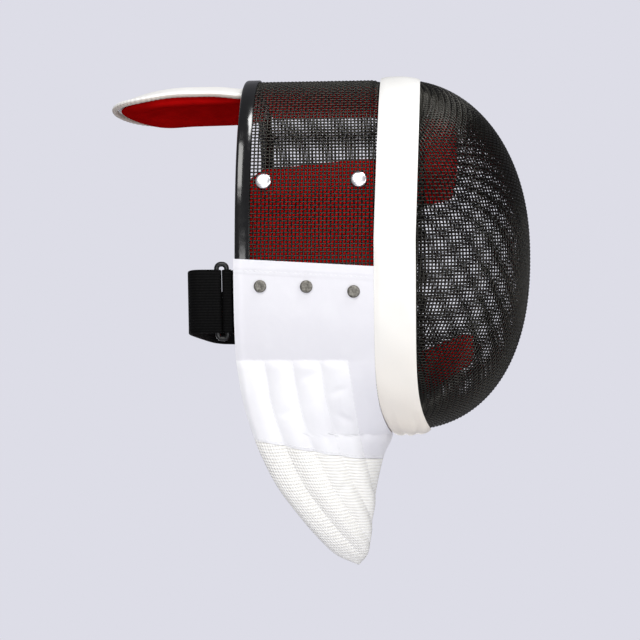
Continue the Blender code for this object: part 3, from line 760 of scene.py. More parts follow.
# the lavender grey low colour is painted shade on the plain cloth; the quilted part is painted whiter
BIB_PAINT = cloth_paint("white bib cloth", (0.745, 0.74, 0.775), (0.865, 0.865, 0.88), 0.82, 0.2,
                        THREAD, 0.00008, quilted=True)
COVER_PAINT = cloth_paint("white cover cloth", (0.80, 0.79, 0.77), (0.86, 0.855, 0.84), 0.7, 0.1,
                          THREAD, 0.00006)
LAME_PAINT = lame_paint()
LINING_PAINT = cloth_paint("red lining cloth", (0.38, 0.012, 0.02), (0.50, 0.02, 0.03), 0.85, 0.2,
                           THREAD, 0.0001)
PAD_PAINT = pad_paint("red padding cloth", (0.58, 0.004, 0.004), (0.74, 0.009, 0.008), 0.8, 0.03)
TONGUE_PAINT = pad_paint("smooth red padding cloth", (0.30, 0.002, 0.002), (0.40, 0.003, 0.003), 0.9, 0.0)
STRAP_PAINT = webbing_paint()
PLASTIC_PAINT = speckled("black moulded plastic", grey(0.006), 0.34, None,
                         (200.0, 3.0, 0.24, 0.44), [(900.0, 2.0, 0.00005)], specular=0.35)
CHROME_PAINT = speckled("bright chrome", grey(0.92), 0.16, None,
                        (700.0, 4.0, 0.24, 0.34), [(300.0, 1.0, 0.00003)], metallic=1.0)
RIVET_PAINT = speckled("dull grey metal", (0.17, 0.16, 0.14), 0.42,
                       (620.0, 5.0, [(0.32, (0.07, 0.065, 0.055)), (0.70, (0.24, 0.23, 0.205))]),
                       (1400.0, 3.0, 0.34, 0.62), [(1100.0, 3.0, 0.00012)], metallic=0.7)
THREAD_PAINT = cloth_paint("white thread", (0.74, 0.74, 0.75), (0.82, 0.82, 0.83), 0.7, 0.1,
                           0.0006, 0.00004)
BINDING_PAINT = binding_paint()


# Woven wire

def woven(name, spots, normals, valid, axis, lift):
    """Bent wires along one way of a net: each passes over and under at every crossing."""
    sides = WIRE_SIDES
    i, j = np.indices(valid.shape)
    wave = np.where((i + j) % 2 == 0, 1.0, -1.0) * lift
    centre = spots + normals * (wave * STRAND)[..., None]

    def neighbour(way):
        moved = np.roll(spots, -way, axis)
        there = np.roll(valid, -way, axis)
        edge = [slice(None)] * 2
        edge[axis] = -1 if way > 0 else 0
        there[tuple(edge)] = False
        there &= valid
        return np.where(there[..., None], moved, spots), there

    ahead, has_ahead = neighbour(1)
    behind, _ = neighbour(-1)
    tangent = unit(ahead - behind)
    side = unit(np.cross(tangent, normals))
    over = np.cross(side, tangent)
    turn = full_turn(sides)[:, None]
    around = np.sin(turn) * side[..., None, :] + np.cos(turn) * over[..., None, :]
    rings = centre[..., None, :] + STRAND * around
    number = np.full(valid.shape, -1)
    number[valid] = np.arange(valid.sum())
    first = number[has_ahead]
    second = np.roll(number, -1, axis)[has_ahead]
    quads = []
    for k in range(sides):
        after = (k + 1) % sides
        quads.append(np.stack([first * sides + k, first * sides + after,
                               second * sides + after, second * sides + k], -1))
    return mesh_object(name, rings[valid], np.concatenate(quads), WIRE_PAINT)


def side_net():
    """Crossings of the side shell: even steps along X and round the loop."""
    fine = np.linspace(0.0, math.pi, SIDE_STEPS)
    run = run_of(wall(0.0, fine, -WIRE / 2))
    reach = int(run[-1] / PITCH)
    steps = (np.arange(-reach, reach + 1) + 0.5) * PITCH
    angles = np.copysign(np.interp(np.abs(steps), run, fine), steps)
    xs = np.arange(REAR_X + STRAND + GAP, SIDE_FRONT_X, PITCH)
    x, angle = np.meshgrid(xs, angles, indexing="ij")
    tuck = TUCK * smooth((x - TUCK_START_X) / (TUCK_END_X - TUCK_START_X))
    valid = np.abs(angle) <= side_low(x)
    return wall(x, angle, -WIRE / 2 - tuck), wall_normal(x, angle), valid


def face_form(point):
    """Zero on the dome's surface; and the share along the loop's height."""
    rise = point[..., 2] - CENTRE_Z
    height, power = loop_form(rise)
    size = ((np.abs(point[..., 1]) / HALF_WIDTH) ** power + (np.abs(rise) / height) ** power) ** (1 / power)
    along = np.clip(rise / height / np.maximum(size, 1e-6), -1.0, 1.0)
    bow = face_power(along)
    ahead = np.clip((point[..., 0] - SEAM_X) / FACE_DEPTH, 0.0, None)
    return size ** bow + ahead ** bow - 1.0, along


def form_slope(point):
    step = 0.00002
    slopes = []
    for move in np.eye(3) * step:
        slopes.append((face_form(point + move)[0] - face_form(point - move)[0]) / (2 * step))
    return np.stack(slopes, -1)


def even_steps(line):
    run = run_of(line)
    return spots_at(line, run, np.arange(0.0, run[-1], PITCH))


def front_line(angle):
    """From the front of the dome back along one angle, past the seam."""
    turn = np.linspace(math.pi / 2, 0.0, FACE_STEPS)
    behind = np.linspace(SEAM_X, FACE_BACK_X, FACE_BACK_STEPS)[1:]
    x = np.concatenate([SEAM_X + FACE_DEPTH * np.sin(turn), behind])
    x[0] = SEAM_X + FACE_DEPTH
    return wall(x, angle, 0.0)


def face_quarter(vertical_angle):
    """Net of equal-sided cells pressed over one quarter of the dome, from its two middle lines."""
    up = even_steps(front_line(vertical_angle))
    across = even_steps(front_line(math.pi / 2))
    net = np.full((len(up), len(across), 3), np.nan)
    net[:, 0] = up
    net[0, :] = across
    good = np.zeros(net.shape[:2], bool)
    good[:, 0] = True
    good[0, :] = True
    for diagonal in range(2, sum(good.shape) - 1):
        i = np.arange(max(1, diagonal - len(across) + 1), min(len(up), diagonal))
        j = diagonal - i
        keep = good[i - 1, j] & good[i, j - 1] & good[i - 1, j - 1]
        i = i[keep]
        j = j[keep]
        if len(i) == 0:
            continue
        first = net[i - 1, j]
        second = net[i, j - 1]
        point = first + second - net[i - 1, j - 1]
        for _ in range(NET_ROUNDS):
            value = face_form(point)[0]
            rows = np.stack([form_slope(point), 2 * (point - first), 2 * (point - second)], 1)
            wrong = np.stack([value, ((point - first) ** 2).sum(-1) - PITCH ** 2,
                              ((point - second) ** 2).sum(-1) - PITCH ** 2], -1)
            rows += np.eye(3) * 1e-9
            step = np.linalg.solve(rows, wrong[..., None])[..., 0]
            size = np.linalg.norm(step, axis=-1, keepdims=True)
            point = point - step * np.minimum(1.0, PITCH / 2 / np.maximum(size, 1e-12))
        off = np.abs(face_form(point)[0])
        fine = (off < 1e-4) & (np.abs(np.linalg.norm(point - first, axis=-1) - PITCH) < PITCH * 0.1)
        fine &= np.linalg.norm(point - net[i - 1, j - 1], axis=-1) > PITCH * 0.25
        fine &= point[:, 0] > SEAM_X - FACE_NET_BACK
        net[i[fine], j[fine]] = point[fine]
        good[i[fine], j[fine]] = True
    return net, good


def face_net():
    upper, upper_good = face_quarter(0.0)
    lower, lower_good = face_quarter(math.pi)
    high = len(upper) - 1
    low = len(lower) - 1
    wide = upper.shape[1] - 1
    net = np.full((low + high + 1, 2 * wide + 1, 3), np.nan)
    good = np.zeros(net.shape[:2], bool)
    for block, block_good, rows in ((upper, upper_good, np.arange(low, low + high + 1)),
                                    (lower, lower_good, np.arange(low, -1, -1))):
        net[np.ix_(rows, np.arange(wide, 2 * wide + 1))] = block
        good[np.ix_(rows, np.arange(wide, 2 * wide + 1))] = block_good
        net[np.ix_(rows, np.arange(wide, -1, -1))] = block * OTHER_SIDE
        good[np.ix_(rows, np.arange(wide, -1, -1))] = block_good
    safe = np.where(good[..., None], net, (0.1, 0.01, CENTRE_Z + 0.01))
    _, along = face_form(safe)
    good &= safe[..., 0] >= seam_at(along) - FACE_LAP
    normals = unit(form_slope(safe))
    return safe - normals * WIRE / 2, normals, good


# Bib

def bib_levels(z):
    """Rear edge, front fold, half-width and half-width at the front, at each height."""
    hang = (QUILT_TOP - z) / BIB_DROP
    chin_x = seam_line(math.pi) - BAND_WIDTH / 2
    held = hang <= 0.0
    rear = np.where(held, BIB_BACK_X, mix(BIB_BACK_X, chin_x, bend(hang, 1)))
    half = np.where(held, flank(z, BIB_OUT), flank(QUILT_TOP, BIB_OUT) * np.maximum(0.0, bend(hang, 3)))
    level = CENTRE_Z + (z - CENTRE_Z) * FALL / (FALL + BIB_FRONT_OUT)
    near = z > CHIN_Z
    front = np.where(near, seam_line(angle_at(level)) - BAND_WIDTH / 2,
                     mix(BIB_BACK_X, chin_x, bend(hang, 2)))
    front_half = np.where(near, np.minimum(half, flank(z, BIB_FRONT_OUT)), 0.0)
    return rear, front, half, front_half


def bib_section(z):
    rear, front, half, front_half = bib_levels(z)
    turn = np.where(half > GAP, np.arccos(np.clip(front_half / np.maximum(half, GAP), 0.0, 1.0)), math.pi / 2)
    turn = np.maximum(turn, 0.01)
    part = turn[:, None] * np.linspace(0.0, 1.0, BIB_STEPS + 1)[None]
    x = rear[:, None] + (front - rear)[:, None] * np.sin(part) / np.sin(turn)[:, None]
    y = half[:, None] * np.cos(part)
    y[:, -1] = np.where(front_half > 0, y[:, -1], 0.0)
    points = np.stack([x, y, np.broadcast_to(z[:, None], x.shape)], -1)
    lengths = np.concatenate([np.zeros((len(z), 1)),
                              np.cumsum(np.linalg.norm(np.diff(points, axis=1), axis=2), axis=1)], 1)
    return points, lengths


def bib_width(z):
    return bib_section(z)[1][:, -1]


def width_at(z):
    return bib_width(np.array([z]))[0]


def bib_spot(z, reach):
    points, lengths = bib_section(np.maximum(z, BIB_TIP))
    reach = np.clip(reach, 0.0, lengths[:, -1])
    index = np.clip((lengths < reach[:, None]).sum(1) - 1, 0, lengths.shape[1] - 2)
    rows = np.arange(len(index))
    span = lengths[rows, index + 1] - lengths[rows, index]
    share = np.where(span > 1e-9, (reach - lengths[rows, index]) / np.maximum(span, 1e-9), 1.0)
    return points[rows, index] + (points[rows, index + 1] - points[rows, index]) * share[:, None]


def bib_normal(z, reach):
    step = 0.002
    along = bib_spot(z, reach + step) - bib_spot(z, np.maximum(0.0, reach - step))
    down = bib_spot(z - step, reach) - bib_spot(z + step, reach)
    normal = np.cross(along, down)
    size = np.linalg.norm(normal, axis=-1)
    normal[size < 1e-12] = (0.0, 0.0, -1.0)
    return unit(normal)


def seam_z(reach):
    return LAME_REAR - LAME_SAG * np.sin(np.minimum(1.0, reach / LAME_SAG_RUN) * math.pi / 2)


def channel_shape(reach):
    """Height of a sewn channel's filling across it, from 0 at a seam to 1."""
    inside = reach < QUILTED
    return np.where(inside, np.abs(np.sin(math.pi * reach / CHANNEL)) ** CHANNEL_POWER, 0.0)


def relief(z, reach):
    """The filling starts full below the top seam, swells in the lower part and creases here and there."""
    start = np.clip((QUILT_TOP - z) / CHANNEL_START, 0.0, 1.0) ** 0.5
    lower = 1.0 + LOWER_SWELL * smooth((LAME_REAR + 0.02 - z) / 0.05)
    crease = np.zeros(z.shape)
    for place, height, angle in QUILT_CREASES:
        along = z - height - (reach - place) * angle
        crease += bell(reach, place, CREASE_REACH) * bell(along, 0.0, CREASE_WIDTH)
    return CHANNEL_RELIEF * start * channel_shape(reach) * lower * (1.0 - CREASE_DEPTH * crease)


def hem_relief(distance):
    """A folded edge: a double layer, then a small dip at its row of stitches."""
    fold = HEM_RELIEF * (1.0 - smooth((distance - HEM_WIDTH) / HEM_SOFTNESS))
    return fold - STITCH_DIP * bell(distance, HEM_WIDTH - HEM_SOFTNESS, STITCH_DIP_WIDTH)


def rear_roll(reach):
    """A small roll along the cloth's rear edge."""
    return REAR_ROLL * bell(reach, REAR_ROLL_PLACE, REAR_ROLL_WIDTH)


def sheet_piece(name, spots, flat, thickness, paint, slot, nodes):
    """A grid of spots as cloth with a thickness, mirrored to the other side."""
    rows, columns = spots.shape[:2]
    piece = mesh_object(name, spots, grid_faces(rows, columns)[:, ::-1], paint, flat)
    weld = piece.modifiers.new("Weld", "WELD")
    weld.merge_threshold = WELD_REACH
    mirror = piece.modifiers.new("Other side", "MIRROR")
    mirror.use_axis = (False, True, False)
    mirror.merge_threshold = MIRROR_REACH
    wall_modifier = piece.modifiers.new("Wall", "SOLIDIFY")
    wall_modifier.thickness = thickness
    wall_modifier.offset = -1.0
    wall_modifier.use_even_offset = False
    settled(piece)
    return placed(piece, slot, *nodes)


def bib_grid(reaches, rows):
    """Shape of a cloth's grid, then the reach and the share downward of each point."""
    reach, v = np.meshgrid(reaches, np.linspace(0.0, 1.0, rows), indexing="xy")
    return reach.shape, reach.ravel(), v.ravel()


def bib_sheet(name, shape, spot, reach, z, thickness, paint, slot, node_name):
    spots = spot.reshape(*shape, 3)
    piece = sheet_piece(name, spots, np.stack([reach, z], -1), thickness, paint, slot, [node_name])


def bib_rows(u, v):
    """Height and distance from the rear edge for each point of the white cloth."""
    z = np.full(u.shape, BIB_TOP_REAR)
    for _ in range(ROW_ROUNDS):
        width = bib_width(z)
        reach = u * width
        top = mix(BIB_TOP_REAR, BIB_TOP_FRONT, np.minimum(1.0, reach / width))
        z = mix(top, seam_z(reach), v)
    return z, reach, width, top


def white_bib():
    shape, u, v = bib_grid(np.linspace(0.0, 1.0, 150), 130)
    z, reach, width, top = bib_rows(u, v)
    near = (z > CHIN_Z) | (reach < width - GAP)
    height = np.where(near, relief(z, reach) + hem_relief(top - z), 0.0)
    height += rear_roll(reach)
    height += np.where(near, wrinkles(z, reach, width), 0.0)
    spot = bib_spot(z, reach) + bib_normal(z, reach) * height[:, None]
    spot[(u == 1.0) & (z <= CHIN_Z), 1] = 0.0
    bib_sheet("bib_cloth", shape, spot, reach, z, BIB_THICK, BIB_PAINT, "bib_cloth", "bib")


def wrinkles(z, reach, width):
    """Slow waves of the cloth below the rivets, stronger towards the tape."""
    low = smooth((QUILT_TOP + 0.010 - z) / 0.06)
    near_tape = smooth((reach - QUILTED) / 0.012)
    wave = sum(0.5 * np.sin(reach * across + z * down + start) for across, down, start in WRINKLE_WAVES)
    return WRINKLE * low * near_tape * wave * smooth((width - reach) / 0.015)


def lower_lines(reach, v):
    """Heights along lines that keep one distance from the rear edge, from the seam to the front fold."""
    top = seam_z(reach) - GAP
    low = np.full(reach.shape, BIB_TIP)
    high = np.full(reach.shape, LAME_FRONT)
    for _ in range(HALVINGS):
        middle = (low + high) / 2
        wide = bib_width(middle) > reach
        high = np.where(wide, middle, high)
        low = np.where(wide, low, middle)
    end = np.minimum(top, (low + high) / 2)
    return mix(top, end, v)


def lame_bib():
    width = width_at(LAME_FRONT)
    shape, reach, v = bib_grid(np.linspace(0.0, width, 120), 90)
    last = np.isclose(reach, width)
    z = lower_lines(reach, np.where(last, 0.0, v))
    height = relief(z, reach) * (1.0 - v ** 6)
    height += rear_roll(reach)
    spot = bib_spot(z, reach) + bib_normal(z, reach) * height[:, None]
    spot[(v == 1.0) | last, 1] = 0.0
    bib_sheet("bib_lame_cloth", shape, spot, reach, z, BIB_THICK, LAME_PAINT, "lame", "bib_lame")


def lining():
    width = width_at(LAME_FRONT)
    shape, reach, v = bib_grid(np.linspace(LINING_INSET, width - LINING_INSET, 40), 40)
    z = lower_lines(reach, v)
    spot = bib_spot(z, reach) - bib_normal(z, reach) * (BIB_THICK + LINING_GAP)
    spot[v == 1.0, 1] = 0.0
    bib_sheet("bib_lining_cloth", shape, spot, reach, z, LINING, LINING_PAINT, "lining", "bib_lining")


# Stitches

def stitch_row(path, normal):
    """Short threads along a path, sunk a little at their ends."""
    run = run_of(path)
    parts = []
    for start in np.arange(STITCH_SPACE, run[-1] - STITCH_LENGTH, STITCH_LENGTH + STITCH_SPACE):
        places = start + STITCH_LENGTH * np.linspace(0.0, 1.0, 5)
        out = spots_at(normal, run, places)
        line = spots_at(path, run, places)
        line += out * (STITCH_RADIUS * np.array([-0.6, 0.5, 0.8, 0.5, -0.6]))[:, None]
        rings = tube_rings(line, STITCH_RADIUS * np.array([0.5, 0.95, 1.0, 0.95, 0.5]), 6, up=out[2])
        parts.append(loft(rings))
    return parts


def bib_stitch(z, reach, height=0.0):
    """A row of stitches on the bib's form."""
    normal = bib_normal(z, reach)
    return stitch_row(bib_spot(z, reach) + normal * height, normal)


def bib_stitches():
    parts = []
    # channel seams on the white cloth and the lower part
    for k in range(1, CHANNELS + 1):
        reach = np.full(60, k * CHANNEL)
        parts += bib_stitch(np.linspace(QUILT_TOP, seam_z(k * CHANNEL) + STITCH_INSET, 60), reach)
        parts += bib_stitch(lower_lines(reach, np.linspace(0.02, 0.97, 60)), reach)
    # hem along the top edge
    width = width_at(BIB_TOP_REAR - HEM_WIDTH)
    reach = np.linspace(3 * STITCH_INSET, width - 3 * STITCH_INSET, 80)
    parts += bib_stitch(mix(BIB_TOP_REAR, BIB_TOP_FRONT, reach / width) - HEM_WIDTH + HEM_SOFTNESS, reach)
    # top of the quilting
    parts += bib_stitch(np.full(80, QUILT_TOP), np.linspace(STITCH_INSET, QUILTED, 80))
    # seam between the cloths
    reach = np.linspace(STITCH_INSET, width_at(LAME_FRONT) - 2 * STITCH_INSET, 80)
    z = seam_z(reach) + SEAM_STITCH
    parts += bib_stitch(z, reach, relief(z, reach)[:, None])
    # the same on the other side
    parts += [(points * OTHER_SIDE, faces[:, ::-1]) for points, faces in parts]
    points, faces = joined_flat(parts)
    return placed(mesh_object("bib_stitches", points, faces, THREAD_PAINT, points[:, [0, 2]]), "bib_cloth")


# Tape and rim

def seam_band():
    """Closed tape: a slightly crowned outer face, a flat inner one, and soft pleats round the chin."""
    stations = 420
    outside = 15
    inside = 7
    angle = (np.arange(stations) + 0.5) / stations * 2 * math.pi - math.pi
    across = np.concatenate([np.linspace(-1.0, 1.0, outside), np.linspace(1.0, -1.0, inside)[1:-1]])
    a, s = np.meshgrid(angle, across, indexing="ij")
    top = np.broadcast_to(np.arange(len(across)) < outside, a.shape) * 1.0
    crown = BAND_CROWN * (1.0 - s ** 2) * top
    edge = BAND_ROLL * np.abs(s) ** 12 * top
    low = smooth((np.abs(a) - CHIN_FOLDS_FROM) / CHIN_FOLDS_RUN)
    spread = CHIN_FOLD_SPREAD * smooth((math.pi - np.abs(a)) / CHIN_SPREAD_RUN)
    front_fold = bell(s, CHIN_FOLD_FRONT + spread, CHIN_FOLD_WIDTH)
    rear_fold = bell(s, CHIN_FOLD_REAR - spread, CHIN_FOLD_WIDTH)
    fold = (front_fold + rear_fold) * low * top
    swell = 0.95 * low * (1.0 - s ** 4) * top
    out = GAP + BAND_THICK * top + crown - edge + BAND_FOLD * (0.8 * swell - 0.55 * fold)
    out += BAND_RIPPLE * top * np.sin(a * BAND_RIPPLES + s * BAND_RIPPLE_SLANT) * (1.0 - s ** 2)
    x = seam_line(a) + s * BAND_WIDTH / 2 * (1.0 - BAND_INSET * (1 - top))
    return lofted("seam_tape", wall(x, a, out), TAPE_PAINT, "tape", "seam_band", closed=True, sharp=55)


def rear_rim():
    """A channel folded over the rear edge: rounded outside, hollow inside."""
    limit = side_low(REAR_X)
    angle = np.linspace(-limit, limit, 360)
    half = WIRE / 2 + GAP + RIM_WALL
    inner = half - RIM_WALL
    turn = np.linspace(math.pi / 2, -math.pi / 2, 11)
    end = RIM_DEPTH + RIM_LIP
    profile = [(end, half - RIM_CHAMFER), (RIM_DEPTH, half)]
    profile += [(inner - half * math.cos(t), half * math.sin(t)) for t in turn]
    profile += [(RIM_DEPTH, -half), (end, -half + RIM_CHAMFER), (RIM_DEPTH, -inner)]
    profile += [(RIM_FLARE, -inner), (0.0, 0.0), (RIM_FLARE, inner), (RIM_DEPTH, inner)]
    depth, out = np.array(profile).T
    a, d = np.meshgrid(angle, depth, indexing="ij")
    rings = wall(REAR_X - GAP + d, a, np.broadcast_to(out - WIRE / 2, a.shape))
    return lofted("rear_channel", rings, GLOSS_PAINT, "rim", "rear_rim", sharp=70)


# Pads

def pad_piece(name, place, node_name, paint=PAD_PAINT, outline=16.0, roundness=3.2, stations=76):
    """A filled pad: a rounded block in shares, bent to its place."""
    t = np.linspace(-1.0, 1.0, stations)
    turn = math.pi / 2 * np.sin(t * math.pi / 2)
    turn[0] = -math.pi / 2 + 1e-4
    turn[-1] = math.pi / 2 - 1e-4
    psi, phi = np.meshgrid(turn, full_turn(PAD_SIDES), indexing="ij")
    keep = np.cos(psi)
    u = signed_power(np.sin(psi), 2 / outline)
    v = keep ** (2 / outline) * signed_power(np.cos(phi), 2 / outline)
    w = keep ** (2 / roundness) * signed_power(np.sin(phi), 2 / roundness)
    piece = lofted(name, place(u, v, w), paint, "padding", node_name)
    return piece


def depth_share(u, v, w):
    """How deep a point lies in its pad: the inner face swells, and dips along its edge seams."""
    swell = 1.0 - 0.10 * (u ** 4 + v ** 4)
    inner = np.clip((w + 1.0) / 2, 0.0, 1.0)
    return inner * swell


def front_dip(x):
    """How far a pad stands off the wire to clear the tucked front of the side shell."""
    return TUCK * np.clip((x - TUCK_START_X + PAD_GAP) / (TUCK_END_X - TUCK_START_X + PAD_GAP), 0.0, 1.0)


def crown_pad(u, v, w):
    half_angle = math.asin((CROWN_PAD_HALF / HALF_WIDTH) ** (CROWN_POWER / 2))
    x = mix(CROWN_PAD_BACK, CROWN_PAD_FRONT, (u + 1) / 2)
    seam = 1.0 - CROWN_SEAM_DEPTH * bell(np.abs(v), CROWN_SEAM, CROWN_SEAM_WIDTH) * np.clip(w, 0.0, 1.0)
    return wall(x, v * half_angle, PAD_OUT - front_dip(x) - CROWN_PAD * depth_share(u, v, w) * seam)


def cheek_place(side):
    def place(u, v, w):
        x = mix(CHEEK_BACK, CHEEK_FRONT, (u + 1) / 2)
        behind = np.clip(-u, 0.0, 1.0)
        lower = CHEEK_DIP * behind ** CHEEK_DIP_POWER
        angle = mix(angle_at(CHEEK_TOP - lower), angle_at(CHEEK_LOW), (v + 1) / 2)
        above_tab = np.clip((wall(x, angle)[..., 2] - STRAP_TOP) / TAB_RISE, 0.0, 1.0)
        under_rim = np.clip((RIM_EDGE_X + PAD_SLOPE - x) / PAD_SLOPE, 0.0, 1.0)
        dip = mix(TAB_TUCK, RIM_TUCK, above_tab) * under_rim + front_dip(x)
        spots = wall(x, angle, PAD_OUT - dip - CHEEK_PAD * depth_share(u, v, w))
        spots[..., 1] *= side
        return spots
    return place


def bow_place(side, front, bow_power, depth):
    """A pad from side to side inside the dome; side and front give x, middle and height."""
    def place(u, v, w):
        forward = 1.0 - np.abs(u) ** bow_power
        x, middle, height = (mix(start, end, forward) for start, end in zip(side, front))
        z = middle + v * height / 2
        ahead = (side[0] - SEAM_X) / FACE_DEPTH
        bow = face_power(np.clip((z - CENTRE_Z) / RISE, -1.0, 1.0))
        end = (flank(z, PAD_OUT - TUCK) - GAP) * (1.0 - ahead ** bow) ** (1 / bow)
        corner = 1.0 - BOW_CORNER * v ** 4
        inward = depth * depth_share(u, v, w)
        sideways = np.copysign(inward * 0.5 * np.abs(u) ** 3, u)
        return np.stack([x - inward, u * end * corner - sideways, z], -1)
    return place


# Tongue

def tongue_behind(x):
    """Share of the way from where the tongue starts to drop to its tip."""
    return np.maximum(0.0, (TONGUE_TIP_X + TONGUE_DROP_RUN - x) / TONGUE_DROP_RUN)


def tongue_crest(x):
    root = SHELL_TOP - WIRE - 2 * GAP - RIM_WALL
    risen = np.clip((REAR_X - TONGUE_RISE_START - x) / TONGUE_RISE_RUN, 0.0, 1.0)
    drop = TONGUE_DROP * tongue_behind(x) ** TONGUE_DROP_POWER
    return root + TONGUE_RISE * np.sin(risen * math.pi / 2) - drop


def tongue_spot(share, turn, half, out):
    share, turn, out = np.broadcast_arrays(np.asarray(share, float), turn, out)
    rim = TONGUE_HALF - half
    end = TONGUE_TIP_X + rim + (TONGUE_ROUND - rim) * (1.0 - np.cos(turn))
    x = mix(end, REAR_X + (TONGUE_LAP if rim > 0 else -GAP), share)
    y = half * np.sin(turn)
    return np.stack([x, y, tongue_crest(x) - TONGUE_ARCH * (y / TONGUE_HALF) ** 2 + out], -1)


def tongue_plate():
    u, turn = np.meshgrid(np.linspace(0.0, 1.0, 60), np.linspace(0.0, math.pi / 2, 40), indexing="xy")
    # the cover's edge reaches into the fold of its binding
    spots = tongue_spot(u, turn, TONGUE_HALF - BINDING + COVER_TUCK, 0.0)
    flat = spots[..., :2]
    return sheet_piece("tongue_cover", spots, flat, TONGUE_PLATE, COVER_PAINT, "bib_cloth", ["tongue"])


def tongue_pad_place(u, v, w):
    half = TONGUE_HALF - BINDING - GAP
    share = mix(TONGUE_PAD_INSET, TONGUE_PAD_END, (u + 1) / 2)
    spots = tongue_spot(share, v * math.pi / 2 * TONGUE_PAD_SPREAD, half, 0.0)
    behind = tongue_behind(spots[..., 0])
    fall = TONGUE_DROP * TONGUE_DROP_POWER * behind ** (TONGUE_DROP_POWER - 1) / TONGUE_DROP_RUN
    lean = 2 * TONGUE_ARCH * spots[..., 1] / TONGUE_HALF ** 2
    spots[..., 2] -= (TONGUE_PLATE + PAD_GAP) * np.sqrt(1.0 + lean ** 2 + fall ** 2)
    deep = mix(TONGUE_PAD_EDGE, TONGUE_PAD_CENTRE, (1.0 - v ** 4) * (1.0 - np.minimum(0.0, u) ** 6))
    deep = deep - TONGUE_PAD_THIN * smooth((u - 0.1) / 0.9)
    spots[..., 2] -= (w + 1) / 2 * deep
    return spots


def tongue_binding():
    """A folded tape round the tongue's edge, gathered in small crimps round the tip."""
    half = TONGUE_HALF - BINDING / 2
    side = tongue_spot(np.linspace(1.0, 0.0, 90), math.pi / 2, half, -BINDING / 4)
    tip = tongue_spot(0.0, np.linspace(math.pi / 2, 0.0, 140)[1:], half, -BINDING / 4)
    near = np.concatenate([side, tip])
    path = np.concatenate([near, near[-2::-1] * OTHER_SIDE])
    path[:, 0] = np.minimum(path[:, 0], REAR_X - RIM_WALL - 2 * GAP)
    run = run_of(path)
    even = np.linspace(0.0, run[-1], 460)
    tip_share = 0.35 + bell(even, run[-1] / 2, CRIMPED)
    crimps = CRIMP * tip_share * np.sin(even * 2 * math.pi / CRIMP_SPACE + 0.8 * np.sin(even * 260))
    radii = (BINDING / 2 - GAP / 2) * (0.93 + crimps)
    rings = tube_rings(spots_at(path, run, even), radii, BINDING_SIDES)
    around = np.arange(BINDING_SIDES)[None] * BINDING * 3.14 / BINDING_SIDES
    flat = np.stack(np.broadcast_arrays(even[:, None], around), -1)
    return lofted("tongue_edge", rings, BINDING_PAINT, "tape", "tongue_binding", flat=flat)


# Strap, loops and tabs

STRAP_MIDDLE = STRAP_TOP - STRAP_WIDTH / 2
STRAP_FOOT = STRAP_TOP - STRAP_WIDTH
INSIDE_RIM = -WIRE - 2 * GAP - RIM_WALL - WEB / 2
LEAN = float(flank(STRAP_TOP, 0.0) - flank(STRAP_FOOT, 0.0)) / STRAP_WIDTH
WRAP = LOOP_BAR / 2 + GAP + WEB / 2
LOOP_Y = float(flank(STRAP_TOP, INSIDE_RIM) + flank(STRAP_FOOT, INSIDE_RIM)) / 2 - 2 * GAP + WRAP


def leaning(x, y, z):
    near = np.minimum(1.0, np.abs(y) / (LOOP_Y - 2 * WRAP)) ** 2
    return np.stack(np.broadcast_arrays(x, y + (z - STRAP_MIDDLE) * LEAN * near * np.sign(y), z), -1)


def even_route(route, step):
    run = run_of(route)
    places = np.linspace(0.0, run[-1], max(8, int(run[-1] / step)))
    return spots_at(route, run, places), places


def round_bar(bar_x, start):
    turn = start - np.linspace(0.0, math.pi, 24)
    return np.stack([bar_x + WRAP * np.cos(turn), LOOP_Y + WRAP * np.sin(turn)], -1)


def strap_route():
    outer = LOOP_Y + WRAP
    turn = np.linspace(0.0, math.pi / 2, 90)
    back = (STRAP_BEND_X - STRAP_BACK_X) * np.cos(turn) ** (2 / STRAP_POWER)
    side = np.stack([STRAP_BEND_X - back, outer * np.sin(turn) ** (2 / STRAP_POWER)], -1)
    bar = round_bar(LOOP_FRONT_X - LOOP_SPAN, math.pi / 2)
    return np.concatenate([side, bar, [(STRAP_TAIL_X, LOOP_Y - WRAP)]])


def tab_route():
    bar = round_bar(LOOP_FRONT_X, -math.pi / 2)
    return np.concatenate([[(TAB_INNER_X, LOOP_Y - WRAP)], bar, [(TAB_OUTER_X, LOOP_Y + WRAP)]])


def webbing_piece(name, route, places, node_name):
    """A flat woven strap that stands on edge along a route seen from above."""
    top, foot = (leaning(route[:, 0], route[:, 1], np.full(len(route), z)) for z in (STRAP_TOP, STRAP_FOOT))
    middle = (top + foot) / 2
    across = top - foot
    facing = unit(np.cross(unit(np.gradient(middle, axis=0)), across))
    rings = ribbon_rings(middle, across, facing, WEB)
    height = ((rings - middle[:, None]) * unit(across)[:, None]).sum(-1)
    flat = np.stack([height, np.broadcast_to(places[:, None], height.shape)], -1)
    return lofted(name, rings, STRAP_PAINT, "webbing", node_name, flat=flat)


def strap_pieces():
    half = strap_route()
    whole = np.concatenate([half[::-1] * np.array([1.0, -1.0]), half[1:]])
    webbing_piece("strap_elastic", *even_route(whole, STRAP_STEP), "back_strap")
    for side, hand in ((-1, "right"), (1, "left")):
        route = tab_route() * np.array([1.0, side])
        webbing_piece("strap_tab_web_" + hand, *even_route(route, TAB_STEP), "strap_tab_" + hand)
        rings = tube_rings(loop_points(side), LOOP_BAR / 2, LOOP_SIDES, True, up=(0.0, 1.0, 0.0))
        lofted("strap_frame_" + hand, rings, PLASTIC_PAINT, "strap_plastic", "strap_loop_" + hand,
               closed=True)


